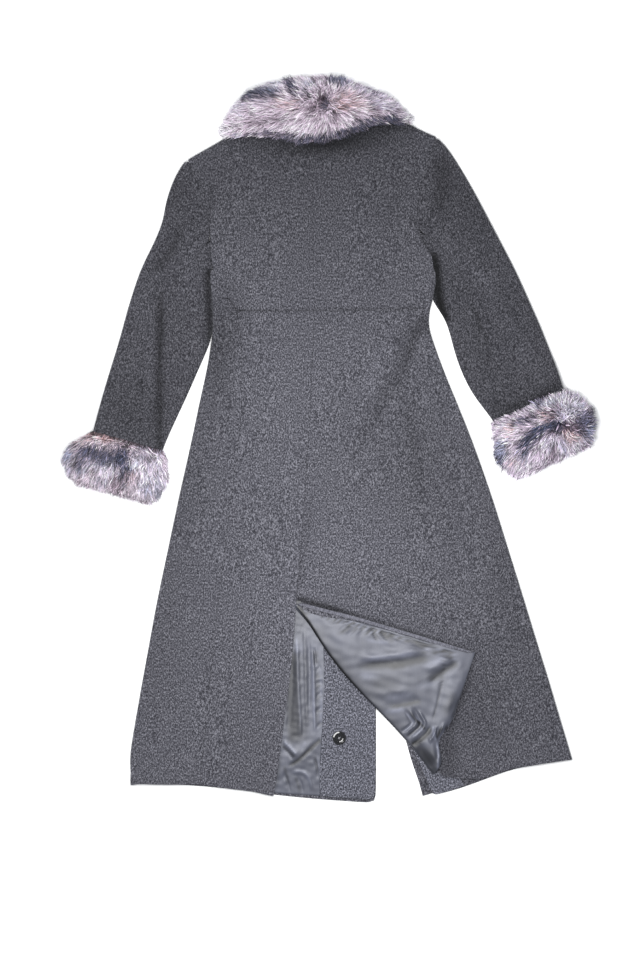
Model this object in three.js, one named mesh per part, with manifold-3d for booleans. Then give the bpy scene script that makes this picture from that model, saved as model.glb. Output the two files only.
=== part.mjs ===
// Maxi coat of wool with a fur collar and fur cuffs, laid flat on its front.
// Millimetres, +X to the coat's right, +Y to the collar, +Z up from the surface.
// Plan sizes are measured from the middle of the hem line. The group is moved at the end,
// so that the middle of the coat's footprint is the origin.
import * as THREE from 'three';
import Module from 'manifold-3d';
import { mergeVertices } from 'three/addons/utils/BufferGeometryUtils.js';

// ---------------------------------------------------------------- driving sizes
const WOOL = 2.6;                      // wall of the coating wool with its interlining
const SATIN = 1.0;                     // wall of the lining satin
const FACING = 1.6;                    // wall of the wool facing
const SEAM = 0.3;                      // space between pieces that meet
const AIR = 3.6;                       // space between the front layer and the back layer
const FOLD_IN = AIR / 2;               // radius of the cloth's inner face where it turns over
const FOLD_OUT = FOLD_IN + WOOL;       // radius of its outer face there
const BODY_TOP = 2 * FOLD_OUT;         // height of the back layer's top face
const LAP = WOOL + SEAM;               // lift of a panel that lies on another
const CUFF_RISE = 9;                   // height at which a sleeve runs through its fur cuff
const COLLAR_CROWN = 44;               // height of the fur collar at its middle
const CUFF_CROWN = 38;                 // height of a fur cuff
const BUTTON_DIAMETER = 24;
const ROW_STEP = 40;                   // length of one row of cloth down the skirt
const STRIP_WIDTH = 9;                 // wool strip along the open edge of the vent
const FACING_TOP = 318;                // level to which the facings are seen in the vent

const COLOUR = { wool: 0x5f5e68, facing: 0x696c76, satin: 0x7e808c, fur: 0xb8adbf, button: 0x0b0b0d };
const woolLook = () => new THREE.MeshStandardMaterial({ color: COLOUR.wool, roughness: 0.95 });
const facingLook = () => new THREE.MeshStandardMaterial({ color: COLOUR.facing, roughness: 0.92 });
const satinLook = () => new THREE.MeshStandardMaterial({ color: COLOUR.satin, roughness: 0.4 });
const furLook = () => new THREE.MeshStandardMaterial({ color: COLOUR.fur, roughness: 0.85 });
const buttonLook = () => new THREE.MeshStandardMaterial({ color: COLOUR.button, roughness: 0.15 });

// ---------------------------------------------------------------- tables of the cut
// The body at each level above the hem: where its outline turns over, its side seams,
// and the centre back seam, which goes on as the open edge of the vent.
const BODY = [
  { level: 985, left: -190, seamLeft: -183, centre: 2, seamRight: 212, right: 219 },
  { level: 967, left: -187, seamLeft: -180, centre: 2, seamRight: 217, right: 224 },
  { level: 936, left: -184, seamLeft: -167, centre: 3, seamRight: 217, right: 224.5 },
  { level: 909, left: -181, seamLeft: -149, centre: 4, seamRight: 205, right: 212 },
  { level: 886, left: -179, seamLeft: -135, centre: 4, seamRight: 195, right: 204 },
  { level: 846, left: -179, seamLeft: -129, centre: 3, seamRight: 184, right: 213 },
  { level: 779, left: -190, seamLeft: -126, centre: 0, seamRight: 169, right: 237 },
  { level: 725, left: -202, seamLeft: -126, centre: -2, seamRight: 185, right: 259 },
  { level: 653, left: -217, seamLeft: -132, centre: -7, seamRight: 205, right: 288 },
  { level: 545, left: -241, seamLeft: -146, centre: -14, seamRight: 232, right: 326 },
  { level: 455, left: -260, seamLeft: -157, centre: -21, seamRight: 256, right: 354 },
  { level: 365, left: -279, seamLeft: -168, centre: -28, seamRight: 279, right: 382 },
  { level: 283, left: -294, seamLeft: -177, centre: -34, seamRight: 301, right: 407 },
  { level: 212, left: -307, seamLeft: -184, centre: -41, seamRight: 319, right: 429 },
  { level: 149, left: -318, seamLeft: -191, centre: -50, seamRight: 336, right: 447 },
  { level: 95, left: -327, seamLeft: -196, centre: -58, seamRight: 350, right: 461 },
  { level: 60, left: -331, seamLeft: -200, centre: -64, seamRight: 360, right: 470 },
  { level: 46, left: -330, seamLeft: -201, centre: -67, seamRight: 363, right: 471 },
  { level: 34, left: -324, seamLeft: -202, centre: -69, seamRight: 366, right: 470 },
  { level: 5, left: -322, seamLeft: -204, centre: -73, seamRight: 372, right: 466 },
];
// Free edges of the two fronts at each level.
const FRONT_EDGE = [
  { level: 1200, left: 23, right: -8 },
  { level: 1085, left: 41, right: -11 },
  { level: 887, left: 59, right: -7 },
  { level: 545, left: 88, right: 62 },
  { level: 344, left: 112, right: 122 },
  { level: 185, left: 115, right: 153 },
  { level: 99, left: 115, right: 175 },
  { level: 27, left: 114, right: 195 },
  { level: 0, left: 113, right: 201 },
];
const HEM_LEFT = [
  { x: -340, y: 36 }, { x: -274, y: 32 }, { x: -202, y: 34 }, { x: -162, y: 27 },
  { x: -108, y: 21 }, { x: -72, y: 13 }, { x: 14, y: 7 }, { x: 59, y: 3 }, { x: 115, y: 0 },
];
const HEM_RIGHT_FRONT = [
  { x: 193, y: 9 }, { x: 230, y: 14 }, { x: 284, y: 35 }, { x: 338, y: 55 },
  { x: 371, y: 65 }, { x: 428, y: 69 }, { x: 475, y: 77 },
];
const HEM_RIGHT_BACK = [
  { x: 221, y: 50 }, { x: 302, y: 46 }, { x: 338, y: 56 }, { x: 371, y: 65 }, { x: 475, y: 77 },
];
const WAIST = { back: 886, frontLeft: 909, frontRight: 846 };
// Plan of each armhole, from the shoulder down to the underarm.
const ARMHOLE = {
  left: [
    { x: -223, y: 1159 }, { x: -202, y: 1121 }, { x: -188, y: 1080 }, { x: -184, y: 1040 },
    { x: -184, y: 1013 }, { x: -182, y: 990 }, { x: -180, y: 968 },
  ],
  right: [
    { x: 223, y: 1199 }, { x: 207, y: 1157 }, { x: 193, y: 1103 }, { x: 188, y: 1058 },
    { x: 191, y: 1028 }, { x: 202, y: 1003 }, { x: 218, y: 986 },
  ],
};
for (const side of ['left', 'right']) ARMHOLE[side][0].y -= FOLD_OUT;  // the shoulder turns over here
const ELBOW_SEAM_START = 4;            // armhole point where the sleeve's back seam begins
// Shoulder from the armhole to the neck, then the neck to the centre back.
const SHOULDER = {
  left: [{ x: -223, y: 1159 }, { x: -187, y: 1179 }, { x: -152, y: 1199 }, { x: -115, y: 1222 }],
  right: [{ x: 223, y: 1199 }, { x: 194, y: 1212 }, { x: 162, y: 1228 }, { x: 130, y: 1244 }],
};
const BACK_NECK = {
  left: [{ x: -85, y: 1218 }, { x: -56, y: 1215 }, { x: -27, y: 1213 }, { x: 2, y: 1213 }],
  right: [{ x: 98, y: 1233 }, { x: 66, y: 1223 }, { x: 34, y: 1216 }, { x: 2, y: 1213 }],
};
const FRONT_NECK = {
  left: [{ x: -94, y: 1180 }, { x: -45, y: 1142 }, { x: -17, y: 1134 }, { x: 32, y: 1130 }],
  right: [{ x: 106, y: 1190 }, { x: 70, y: 1152 }, { x: 30, y: 1138 }, { x: -10, y: 1132 }],
};
// Sleeves in rows from the shoulder to the wrist: the outer fold, and below the underarm
// the inner fold, where the left sleeve hangs close to the body.
const SLEEVE = {
  left: {
    outer: [
      { x: -232, y: 1152 }, { x: -252, y: 1119 }, { x: -265, y: 1076 }, { x: -268, y: 1048 },
      { x: -284, y: 1010 }, { x: -294, y: 990 }, { x: -308, y: 962 }, { x: -320, y: 928 },
      { x: -333, y: 886 }, { x: -346, y: 836 }, { x: -361, y: 788 }, { x: -377, y: 736 },
    ],
    back: [
      { x: -196, y: 997 }, { x: -222, y: 968 }, { x: -250, y: 935 }, { x: -266, y: 893 },
      { x: -272, y: 850 }, { x: -274, y: 800 }, { x: -275, y: 745 },
    ],
    inner: [
      { x: -187, y: 952 }, { x: -183.4, y: 925 }, { x: -180.4, y: 895 }, { x: -179.5, y: 862 },
      { x: -183.5, y: 827 }, { x: -206, y: 776 }, { x: -228, y: 724 },
    ],
    spread: [0, 0, 0, 0, 0, 0, 0],
  },
  right: {
    outer: [
      { x: 231, y: 1193 }, { x: 253, y: 1167 }, { x: 280, y: 1122 }, { x: 304, y: 1078 },
      { x: 322, y: 1043 }, { x: 343, y: 1003 }, { x: 362, y: 967 }, { x: 380, y: 928 },
      { x: 396, y: 892 }, { x: 412, y: 856 }, { x: 428, y: 815 }, { x: 443, y: 777 },
    ],
    back: [
      { x: 222, y: 1014 }, { x: 247, y: 986 }, { x: 269, y: 952 }, { x: 288, y: 908 },
      { x: 304, y: 862 }, { x: 322, y: 815 }, { x: 342, y: 768 },
    ],
    inner: [
      { x: 227.5, y: 967 }, { x: 229.6, y: 942 }, { x: 233, y: 914 }, { x: 239.5, y: 884 },
      { x: 247, y: 850 }, { x: 259, y: 798 }, { x: 286, y: 735 },
    ],
    spread: [0, 3.4, 17, 9, 0, 0, 0],
  },
};
const CUFF = {
  left: {
    centre: { x: -330.5, y: 651 }, along: { x: -0.264, y: -0.965 }, outerHalf: 66, innerHalf: 63,
    rows: [
      { s: -1, outer: 70, inner: 67, height: 0.62 }, { s: 8, outer: 80, inner: 76, height: 0.86 },
      { s: 26, outer: 97, inner: 83, height: 1 }, { s: 48, outer: 105, inner: 86, height: 1 },
      { s: 68, outer: 103, inner: 85, height: 0.95 }, { s: 86, outer: 91, inner: 81, height: 0.8 },
      { s: 97, outer: 72, inner: 70, height: 0.58 },
    ],
  },
  right: {
    centre: { x: 391.5, y: 709.5 }, along: { x: 0.412, y: -0.911 }, outerHalf: 69, innerHalf: 67,
    rows: [
      { s: -3, outer: 74, inner: 72, height: 0.62 }, { s: 8, outer: 86, inner: 79, height: 0.86 },
      { s: 28, outer: 96, inner: 85, height: 1 }, { s: 50, outer: 98, inner: 89, height: 1 },
      { s: 72, outer: 94, inner: 90, height: 0.95 }, { s: 92, outer: 83, inner: 84, height: 0.8 },
      { s: 105, outer: 75, inner: 74, height: 0.58 },
    ],
  },
};
const SLEEVE_END = 90;                 // how far a sleeve runs into its cuff
const SLEEVE_STRAIGHT = -7;            // where it starts to run straight towards it
// The fur collar from tip to tip: edge that lies on the back, outer edge, and its height.
const COLLAR = [
  { edgeX: -166, edgeY: 1203, outX: -169, outY: 1214, height: 0.3 },
  { edgeX: -158, edgeY: 1197, outX: -164, outY: 1228, height: 0.5 },
  { edgeX: -144, edgeY: 1199, outX: -151, outY: 1244, height: 0.68 },
  { edgeX: -122, edgeY: 1202, outX: -135, outY: 1259, height: 0.82 },
  { edgeX: -95, edgeY: 1202, outX: -112, outY: 1280, height: 0.92 },
  { edgeX: -66, edgeY: 1199, outX: -78, outY: 1295, height: 0.97 },
  { edgeX: -36, edgeY: 1193, outX: -38, outY: 1304, height: 1 },
  { edgeX: -4, edgeY: 1189, outX: -4, outY: 1308, height: 1 },
  { edgeX: 20, edgeY: 1189, outX: 28, outY: 1308, height: 1 },
  { edgeX: 47, edgeY: 1197, outX: 60, outY: 1303, height: 0.98 },
  { edgeX: 76, edgeY: 1209, outX: 98, outY: 1290, height: 0.92 },
  { edgeX: 108, edgeY: 1221, outX: 132, outY: 1276, height: 0.82 },
  { edgeX: 140, edgeY: 1227, outX: 157, outY: 1264, height: 0.66 },
  { edgeX: 163, edgeY: 1227, outX: 174, outY: 1247, height: 0.48 },
  { edgeX: 177, edgeY: 1226, outX: 184, outY: 1233, height: 0.3 },
];
// The corner of the right back that is turned over: ends of its fold, and its free point.
const FLAP = {
  top: { x: -29, y: 362 }, bottom: { x: 221, y: 51 }, point: { x: 293, y: 266 },
  turn: { x: 0.779, y: 0.627 }, woolOut: WOOL + 0.15, woolIn: 0.15,
};
// Soft ridges of the laid cloth: ends, half width and height.
const FOLDS = [
  { name: 'waist drape upper', x0: 172, y0: 866, x1: 42, y1: 650, wide: 26, high: 3.4 },
  { name: 'waist drape lower', x0: 204, y0: 800, x1: 92, y1: 610, wide: 24, high: 4.2 },
  { name: 'right side drape', x0: 196, y0: 740, x1: 250, y1: 470, wide: 30, high: 3.0 },
  { name: 'left waist', x0: -134, y0: 862, x1: -112, y1: 650, wide: 34, high: 3.0 },
  { name: 'left side drape', x0: -222, y0: 600, x1: -262, y1: 330, wide: 34, high: 3.2 },
  { name: 'left skirt', x0: -140, y0: 560, x1: -128, y1: 90, wide: 34, high: 2.6 },
  { name: 'right skirt', x0: 226, y0: 470, x1: 330, y1: 180, wide: 34, high: 2.4 },
  { name: 'right outer skirt', x0: 330, y0: 430, x1: 420, y1: 110, wide: 36, high: 2.6 },
  { name: 'upper back left', x0: -140, y0: 1110, x1: -96, y1: 960, wide: 34, high: 2.6 },
  { name: 'upper back right', x0: 140, y0: 1130, x1: 110, y1: 960, wide: 34, high: 2.4 },
  { name: 'left cap', x0: -236, y0: 1110, x1: -226, y1: 1010, wide: 20, high: 6 },
  { name: 'left elbow', x0: -296, y0: 900, x1: -316, y1: 760, wide: 22, high: 5 },
  { name: 'left forearm', x0: -228, y0: 930, x1: -246, y1: 790, wide: 20, high: 4.5 },
  { name: 'right cap', x0: 232, y0: 1120, x1: 300, y1: 990, wide: 26, high: 6.5 },
  { name: 'right elbow', x0: 330, y0: 930, x1: 386, y1: 800, wide: 30, high: 5 },
  { name: 'right underarm', x0: 262, y0: 900, x1: 296, y1: 800, wide: 20, high: 4.5 },
];

// ---------------------------------------------------------------- small helpers
const smooth = (from, to, value) => THREE.MathUtils.smoothstep(value, from, to);
const lerp = THREE.MathUtils.lerp;
const mix = (a, b, t) => ({ x: lerp(a.x, b.x, t), y: lerp(a.y, b.y, t) });
const add = (p, direction, distance) => ({ x: p.x + direction.x * distance, y: p.y + direction.y * distance });
function unit(from, to) {
  const length = Math.hypot(to.x - from.x, to.y - from.y);
  return { x: (to.x - from.x) / length, y: (to.y - from.y) / length };
}
const range = (count) => Array.from({ length: count + 1 }, (_, k) => k / count);

// A value read between the rows of a table, with the tangents of the rows on each side.
function read(table, along, column, at) {
  const rising = table[table.length - 1][along] > table[0][along];
  const rows = rising ? table : [...table].reverse();
  let k = 0;
  while (k < rows.length - 2 && at > rows[k + 1][along]) k += 1;
  const [a, b] = [rows[k], rows[k + 1]];
  const before = rows[Math.max(k - 1, 0)];
  const after = rows[Math.min(k + 2, rows.length - 1)];
  const span = b[along] - a[along];
  const t = THREE.MathUtils.clamp((at - a[along]) / span, 0, 1);
  const startSlope = (b[column] - before[column]) / (b[along] - before[along]) * span;
  const endSlope = (after[column] - a[column]) / (after[along] - a[along]) * span;
  const [t2, t3] = [t * t, t * t * t];
  return (2 * t3 - 3 * t2 + 1) * a[column] + (t3 - 2 * t2 + t) * startSlope
    + (3 * t2 - 2 * t3) * b[column] + (t3 - t2) * endSlope;
}
const body = (column, level) => read(BODY, 'level', column, level);
const frontEdge = (column, level) => read(FRONT_EDGE, 'level', column, level);
const hem = (table, x) => read(table, 'x', 'y', x);

// ---------------------------------------------------------------- how the cloth lies
const flapReach = (x, y) => (x - FLAP.top.x) * FLAP.turn.x + (y - FLAP.top.y) * FLAP.turn.y;

// Height that the folds add to the back layer. The cloth is flat beneath the turned-back
// corner, along the vent and at the edges that other pieces lie on.
function drape(x, y) {
  let height = 0;
  for (const f of FOLDS) {
    const [dx, dy] = [f.x1 - f.x0, f.y1 - f.y0];
    const length = Math.hypot(dx, dy);
    const along = ((x - f.x0) * dx + (y - f.y0) * dy) / length;
    const aside = ((x - f.x0) * dy - (y - f.y0) * dx) / length;
    const ends = smooth(-f.wide, f.wide, along) * (1 - smooth(length - f.wide, length + f.wide, along));
    height += f.high * ends * Math.exp(-((aside / f.wide) ** 2));
  }
  const flapTop = FLAP.top.y + (x - FLAP.top.x) * (FLAP.point.y - FLAP.top.y) / (FLAP.point.x - FLAP.top.x);
  const besideFlap = Math.max(smooth(24, 84, y - flapTop), smooth(318, 366, x));
  const besideVent = y > 600 ? 1 : smooth(30, 70, Math.abs(x - body('centre', y)));
  const belowNeck = 1 - smooth(1130, 1175, y - Math.abs(x) * 0.05);
  return height * Math.min(besideFlap, 1) * besideVent * Math.max(belowNeck, smooth(205, 225, Math.abs(x)));
}
function cuffRise(x, y) {
  const side = CUFF[x < 0 ? 'left' : 'right'];
  const s = (x - side.centre.x) * side.along.x + (y - side.centre.y) * side.along.y;
  return CUFF_RISE * smooth(-90, -8, s);
}

// One station of a cloth wall. turn is 0 on the front layer and PI on the back layer;
// between them the cloth turns over round the point, towards the direction out.
function station(point, turn = Math.PI, out = { x: 0, y: 0 }, lift = 0) {
  const side = Math.sin(turn);
  const up = Math.cos(turn);
  const backShare = (1 - up) / 2;
  const raise = lift + backShare * drape(point.x, point.y);
  const at = (radius) => [
    point.x + out.x * radius * side, point.y + out.y * radius * side, FOLD_OUT - radius * up + raise,
  ];
  return { outer: at(FOLD_OUT), inner: at(FOLD_IN) };
}

// Four boundaries, each a list of points, filled with a grid of points (a Coons patch).
function fill(bottom, top, start, end) {
  const [n, m] = [bottom.length - 1, start.length - 1];
  return start.map((_, j) => bottom.map((__, i) => {
    const [u, v] = [i / n, j / m];
    const value = (key) => (1 - v) * bottom[i][key] + v * top[i][key]
      + (1 - u) * start[j][key] + u * end[j][key]
      - (1 - u) * (1 - v) * bottom[0][key] - u * (1 - v) * bottom[n][key]
      - (1 - u) * v * top[0][key] - u * v * top[n][key];
    return { x: value('x'), y: value('y') };
  }));
}

// The edge stations of a grid are drawn in by half a seam, so that neighbours stay apart.
function drawIn(grid) {
  const [last, end] = [grid.length - 1, grid[0].length - 1];
  const pull = (from, to) => {
    for (const face of ['outer', 'inner']) {
      const [p, q] = [new THREE.Vector3(...from[face]), new THREE.Vector3(...to[face])];
      const step = q.sub(p);
      p.addScaledVector(step, Math.min(SEAM / 2 / step.length(), 0.4));
      from[face] = p.toArray();
    }
  };
  grid[0].forEach((s, i) => pull(s, grid[1][i]));
  grid[last].forEach((s, i) => pull(s, grid[last - 1][i]));
  grid.forEach((row) => {
    pull(row[0], row[1]);
    pull(row[end], row[end - 1]);
  });
  return grid;
}

// ---------------------------------------------------------------- solids from grids
function volumeOf(points, faces) {
  let volume = 0;
  for (let k = 0; k < faces.length; k += 3) {
    const [a, b, c] = [0, 1, 2].map((n) => new THREE.Vector3(...points[faces[k + n]]));
    volume += a.dot(b.cross(c));
  }
  return volume;
}
function solid(name, material, points, faces) {
  if (volumeOf(points, faces) < 0) faces.reverse();
  const geometry = new THREE.BufferGeometry();
  geometry.setAttribute('position', new THREE.Float32BufferAttribute(points.flat(), 3));
  geometry.setIndex(faces);
  geometry.computeVertexNormals();
  const mesh = new THREE.Mesh(geometry, material);
  mesh.name = name;
  return mesh;
}
// A closed wall: the outer face, the inner face, and the rim that joins them.
function cloth(name, material, grid) {
  const [m, n] = [grid.length, grid[0].length];
  const points = [...grid.flat().map((s) => s.outer), ...grid.flat().map((s) => s.inner)];
  const outer = (j, i) => j * n + i;
  const inner = (j, i) => m * n + j * n + i;
  const faces = [];
  const quad = (a, b, c, d) => faces.push(a, b, c, a, c, d);
  for (let j = 0; j < m - 1; j += 1) {
    for (let i = 0; i < n - 1; i += 1) {
      quad(outer(j, i), outer(j, i + 1), outer(j + 1, i + 1), outer(j + 1, i));
      quad(inner(j, i), inner(j + 1, i), inner(j + 1, i + 1), inner(j, i + 1));
    }
  }
  for (let i = 0; i < n - 1; i += 1) {
    quad(outer(0, i), inner(0, i), inner(0, i + 1), outer(0, i + 1));
    quad(outer(m - 1, i), outer(m - 1, i + 1), inner(m - 1, i + 1), inner(m - 1, i));
  }
  for (let j = 0; j < m - 1; j += 1) {
    quad(outer(j, 0), outer(j + 1, 0), inner(j + 1, 0), inner(j, 0));
    quad(outer(j, n - 1), inner(j, n - 1), inner(j + 1, n - 1), outer(j + 1, n - 1));
  }
  return solid(name, material, points, faces);
}
// A solid from rings of points: closed on itself, or with an end face on each last ring.
function fromRings(name, material, rings, closed) {
  const [m, n] = [rings.length, rings[0].length];
  const faces = [];
  for (let j = 0; j < (closed ? m : m - 1); j += 1) {
    for (let i = 0; i < n; i += 1) {
      const [a, b] = [j * n + i, j * n + (i + 1) % n];
      const [c, d] = [((j + 1) % m) * n + (i + 1) % n, ((j + 1) % m) * n + i];
      faces.push(a, b, c, a, c, d);
    }
  }
  if (!closed) {
    for (let i = 1; i < n - 1; i += 1) {
      faces.push(0, i + 1, i);
      faces.push((m - 1) * n, (m - 1) * n + i, (m - 1) * n + i + 1);
    }
  }
  return solid(name, material, rings.flat(), faces);
}

// ---------------------------------------------------------------- rows that panels share
const rowsDown = (from, to) => {
  const count = Math.round((from - to) / ROW_STEP);
  return range(count).map((t) => lerp(from, to, t));
};
const HEM_SEAM = { left: 34, right: 65 };          // level of the hem at each side seam
const SKIRT_LEVELS = {
  left: rowsDown(WAIST.back, HEM_SEAM.left),
  right: [WAIST.back, 866, ...rowsDown(WAIST.frontRight, HEM_SEAM.right)],
};
const SIDE_LEVELS = {
  left: [WAIST.back, WAIST.frontLeft, 932, 955],
  right: [WAIST.back, 900, 916, 936, 955],
};
const seamColumn = { left: 'seamLeft', right: 'seamRight' };
// A level near the hem follows the hem's curve, and is level at the side seam.
function onHem(table, side, level, x) {
  const share = 1 - smooth(HEM_SEAM[side], HEM_SEAM[side] + 3 * ROW_STEP, level);
  const seamX = body(seamColumn[side], HEM_SEAM[side]);
  return level + share * (hem(table, x) - hem(table, seamX));
}

// ---------------------------------------------------------------- back bodice
function backBodice(side) {
  const seam = seamColumn[side];
  const neck = [...SHOULDER[side], ...BACK_NECK[side]];
  const columns = neck.length - 1;
  const sideEdge = [
    ...SIDE_LEVELS[side].map((y) => ({ x: body(seam, y), y })), ...[...ARMHOLE[side]].reverse(),
  ];
  const waistLine = range(columns).map((u) => ({
    x: lerp(body(seam, WAIST.back), body('centre', WAIST.back), u), y: WAIST.back,
  }));
  const top = neck.map((p) => ({ x: p.x, y: p.y - FOLD_OUT }));
  const centre = range(sideEdge.length - 1).map((v) => {
    const y = lerp(WAIST.back, top[columns].y, v);
    return { x: body('centre', y), y };
  });
  centre[centre.length - 1] = top[columns];
  const grid = fill(waistLine, top, sideEdge, centre).map((row) => row.map((p) => station(p)));
  const upward = { x: 0, y: 1 };
  for (const part of [1 / 3, 2 / 3, 1]) {
    grid.push(top.map((p, i) => {
      const roll = i < SHOULDER[side].length ? Math.PI / 2 : 0.4;
      return station(p, Math.PI - roll * part, upward);
    }));
  }
  return cloth(`back_bodice_${side}`, woolLook(), drawIn(grid));
}

// ---------------------------------------------------------------- back skirt
const underlap = (y) => 12 * (1 - smooth(515, 545, y)) * smooth(366, 398, y);
const foldX = (y) => lerp(FLAP.top.x, FLAP.bottom.x, (FLAP.top.y - y) / (FLAP.top.y - FLAP.bottom.y));
const SATIN_OUT = FLAP.woolOut + SEAM + SATIN;     // radius of the lining round the fold
const FOLD_SETBACK = (SATIN_OUT + SEAM) / FLAP.turn.x;

function backSkirtLeft() {
  const shares = [0, 0.2, 0.4, 0.58, 0.72, 0.82, 0.9, 0.96, 1];
  const grid = SKIRT_LEVELS.left.map((level) => shares.map((u) => {
    const x = lerp(body('seamLeft', level), body('centre', level), u);
    const edge = body('centre', level) - 12;
    const overRight = (1 - smooth(575, 640, level)) * smooth(290, 350, level);
    const lift = LAP * overRight * smooth(edge - 30, edge - 4, x);
    return station({ x, y: onHem(HEM_LEFT, 'left', level, x) }, Math.PI, undefined, lift);
  }));
  return cloth('back_skirt_left', woolLook(), drawIn(grid));
}
function backSkirtRight() {
  const startX = (level) => (level > FLAP.top.y
    ? body('centre', level) - underlap(level)
    : foldX(level) + FOLD_SETBACK);
  const grid = SKIRT_LEVELS.right.map((level) => {
    // the hem curves, so the start of a low row is found where its own height puts it
    let start = startX(level);
    for (let pass = 0; pass < 8; pass += 1) {
      start = startX(Math.max(onHem(HEM_RIGHT_BACK, 'right', level, start), FLAP.bottom.y));
    }
    return range(8).map((u) => {
      const x = lerp(start, body('seamRight', level), u);
      return station({ x, y: onHem(HEM_RIGHT_BACK, 'right', level, x) });
    });
  });
  return cloth('back_skirt_right', woolLook(), drawIn(grid));
}

// ---------------------------------------------------------------- fronts
const OUTWARD = { left: { x: -1, y: 0 }, right: { x: 1, y: 0 } };
const ARC_STEPS = 4;
const RETURN_SHARES = { left: [0.5, 1], right: [0.5, 1] };

// Columns of a front from its free edge to where its side turns over. The left front
// steps up over the right one, so it has columns on each side of the step.
function frontColumns(side, level, baseX) {
  const free = frontEdge(side, level);
  if (side === 'right') return range(5).map((u) => lerp(free, baseX, u));
  const stepTop = Math.min(frontEdge('right', level) - 5, free - 8);
  const stepFoot = stepTop - 26;
  return [free, stepTop, stepFoot, ...[0.34, 0.67, 1].map((u) => lerp(stepFoot, baseX, u))];
}
function frontLift(side, x, y) {
  if (side === 'right') return 0;
  const stepTop = Math.min(frontEdge('right', y) - 5, frontEdge('left', y) - 8);
  return LAP * smooth(FACING_TOP, FACING_TOP + 68, y) * smooth(stepTop - 26, stepTop - 1, x);
}
// The part of a front that turns over at the side and comes back to the side seam.
function sideTurn(side, level, yAt) {
  const silhouette = body(side, level);
  const baseX = silhouette - OUTWARD[side].x * FOLD_OUT;
  const seamX = body(seamColumn[side], level);
  const arc = range(ARC_STEPS).slice(1).map((t) => station({ x: baseX, y: yAt(baseX) }, Math.PI * t, OUTWARD[side]));
  const back = RETURN_SHARES[side].map((u) => {
    const x = lerp(baseX, seamX, u);
    return station({ x, y: yAt(x) });
  });
  return [...arc, ...back];
}
function frontSkirt(side) {
  const hemTable = side === 'left' ? HEM_LEFT : HEM_RIGHT_FRONT;
  const start = side === 'left' ? WAIST.frontLeft : WAIST.frontRight;
  const levels = [start, ...SKIRT_LEVELS[side].filter((level) => level < start)];
  const grid = levels.map((level) => {
    const baseX = body(side, level) - OUTWARD[side].x * FOLD_OUT;
    const yAt = (x) => onHem(hemTable, side, level, x);
    const floor = frontColumns(side, level, baseX).map((x) => {
      const y = yAt(x);
      return station({ x, y }, 0, OUTWARD[side], frontLift(side, x, y));
    });
    return [...floor, ...sideTurn(side, level, yAt)];
  });
  return cloth(`front_skirt_${side}`, woolLook(), drawIn(grid));
}
function frontBodice(side) {
  const waist = side === 'left' ? WAIST.frontLeft : WAIST.frontRight;
  const levels = [
    ...SKIRT_LEVELS[side].filter((level) => level >= waist && level < WAIST.back).reverse(),
    ...SIDE_LEVELS[side].filter((level) => level >= waist),
  ];
  const wrapColumns = ARC_STEPS + RETURN_SHARES[side].length;
  const flatWrap = 2 * wrapColumns;
  const armhole = [...ARMHOLE[side]].reverse();
  const shoulder = SHOULDER[side].map((p) => ({ x: p.x, y: p.y - FOLD_OUT }));
  const inward = { x: -OUTWARD[side].x, y: 0 };
  const outerEdge = [
    ...levels.map((y) => ({ x: body(side, y) - OUTWARD[side].x * FOLD_OUT, y })),
    ...armhole.map((p) => add(p, inward, flatWrap)),
  ];
  outerEdge[outerEdge.length - 1] = mix(shoulder[0], shoulder[1], flatWrap / Math.abs(shoulder[1].x - shoulder[0].x));
  const neck = [...FRONT_NECK[side]].reverse();
  const top = [...neck, shoulder[3], outerEdge[outerEdge.length - 1]];
  const bottom = frontColumns(side, waist, outerEdge[0].x).map((x) => ({ x, y: waist }));
  const freeEdge = range(outerEdge.length - 1).map((v) => {
    const y = lerp(waist, top[0].y, v);
    return { x: frontEdge(side, y), y };
  });
  freeEdge[freeEdge.length - 1] = top[0];
  const plan = fill(bottom, top, freeEdge, outerEdge);
  const flat = (p) => station(p, 0, OUTWARD[side], frontLift(side, p.x, p.y));
  const grid = plan.map((row, j) => {
    const floor = row.map(flat);
    if (j < levels.length) return [...floor, ...sideTurn(side, levels[j], () => levels[j])];
    const tip = armhole[j - levels.length];
    const base = outerEdge[j];
    return [...floor, ...range(wrapColumns).slice(1).map((t) => flat(mix(base, tip, t)))];
  });
  return cloth(`front_bodice_${side}`, woolLook(), drawIn(grid));
}

// ---------------------------------------------------------------- sleeves
const ARC_TURNS = range(ARC_STEPS);
// A row of sleeve from a point on the back layer, round a fold, to a point underneath.
function foldedRow(backPoint, foldPoint, frontPoint, backShares, frontShares, spread = 0, via = null) {
  const out = unit(via || backPoint, foldPoint);
  const lifted = (p, turn) => station(p, turn, out, cuffRise(p.x, p.y));
  const topBase = add(foldPoint, out, -FOLD_OUT);
  const floorBase = { x: topBase.x - spread, y: topBase.y };
  return [
    ...backShares.slice(0, -1).map((u) => lifted(u > 0 && via ? via : mix(backPoint, topBase, u), Math.PI)),
    ...ARC_TURNS.map((t) => lifted(mix(topBase, floorBase, t), Math.PI * (1 - t))),
    ...frontShares.slice(1).map((u) => lifted(u < 1 && via ? via : mix(floorBase, frontPoint, u), 0)),
  ];
}
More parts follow.
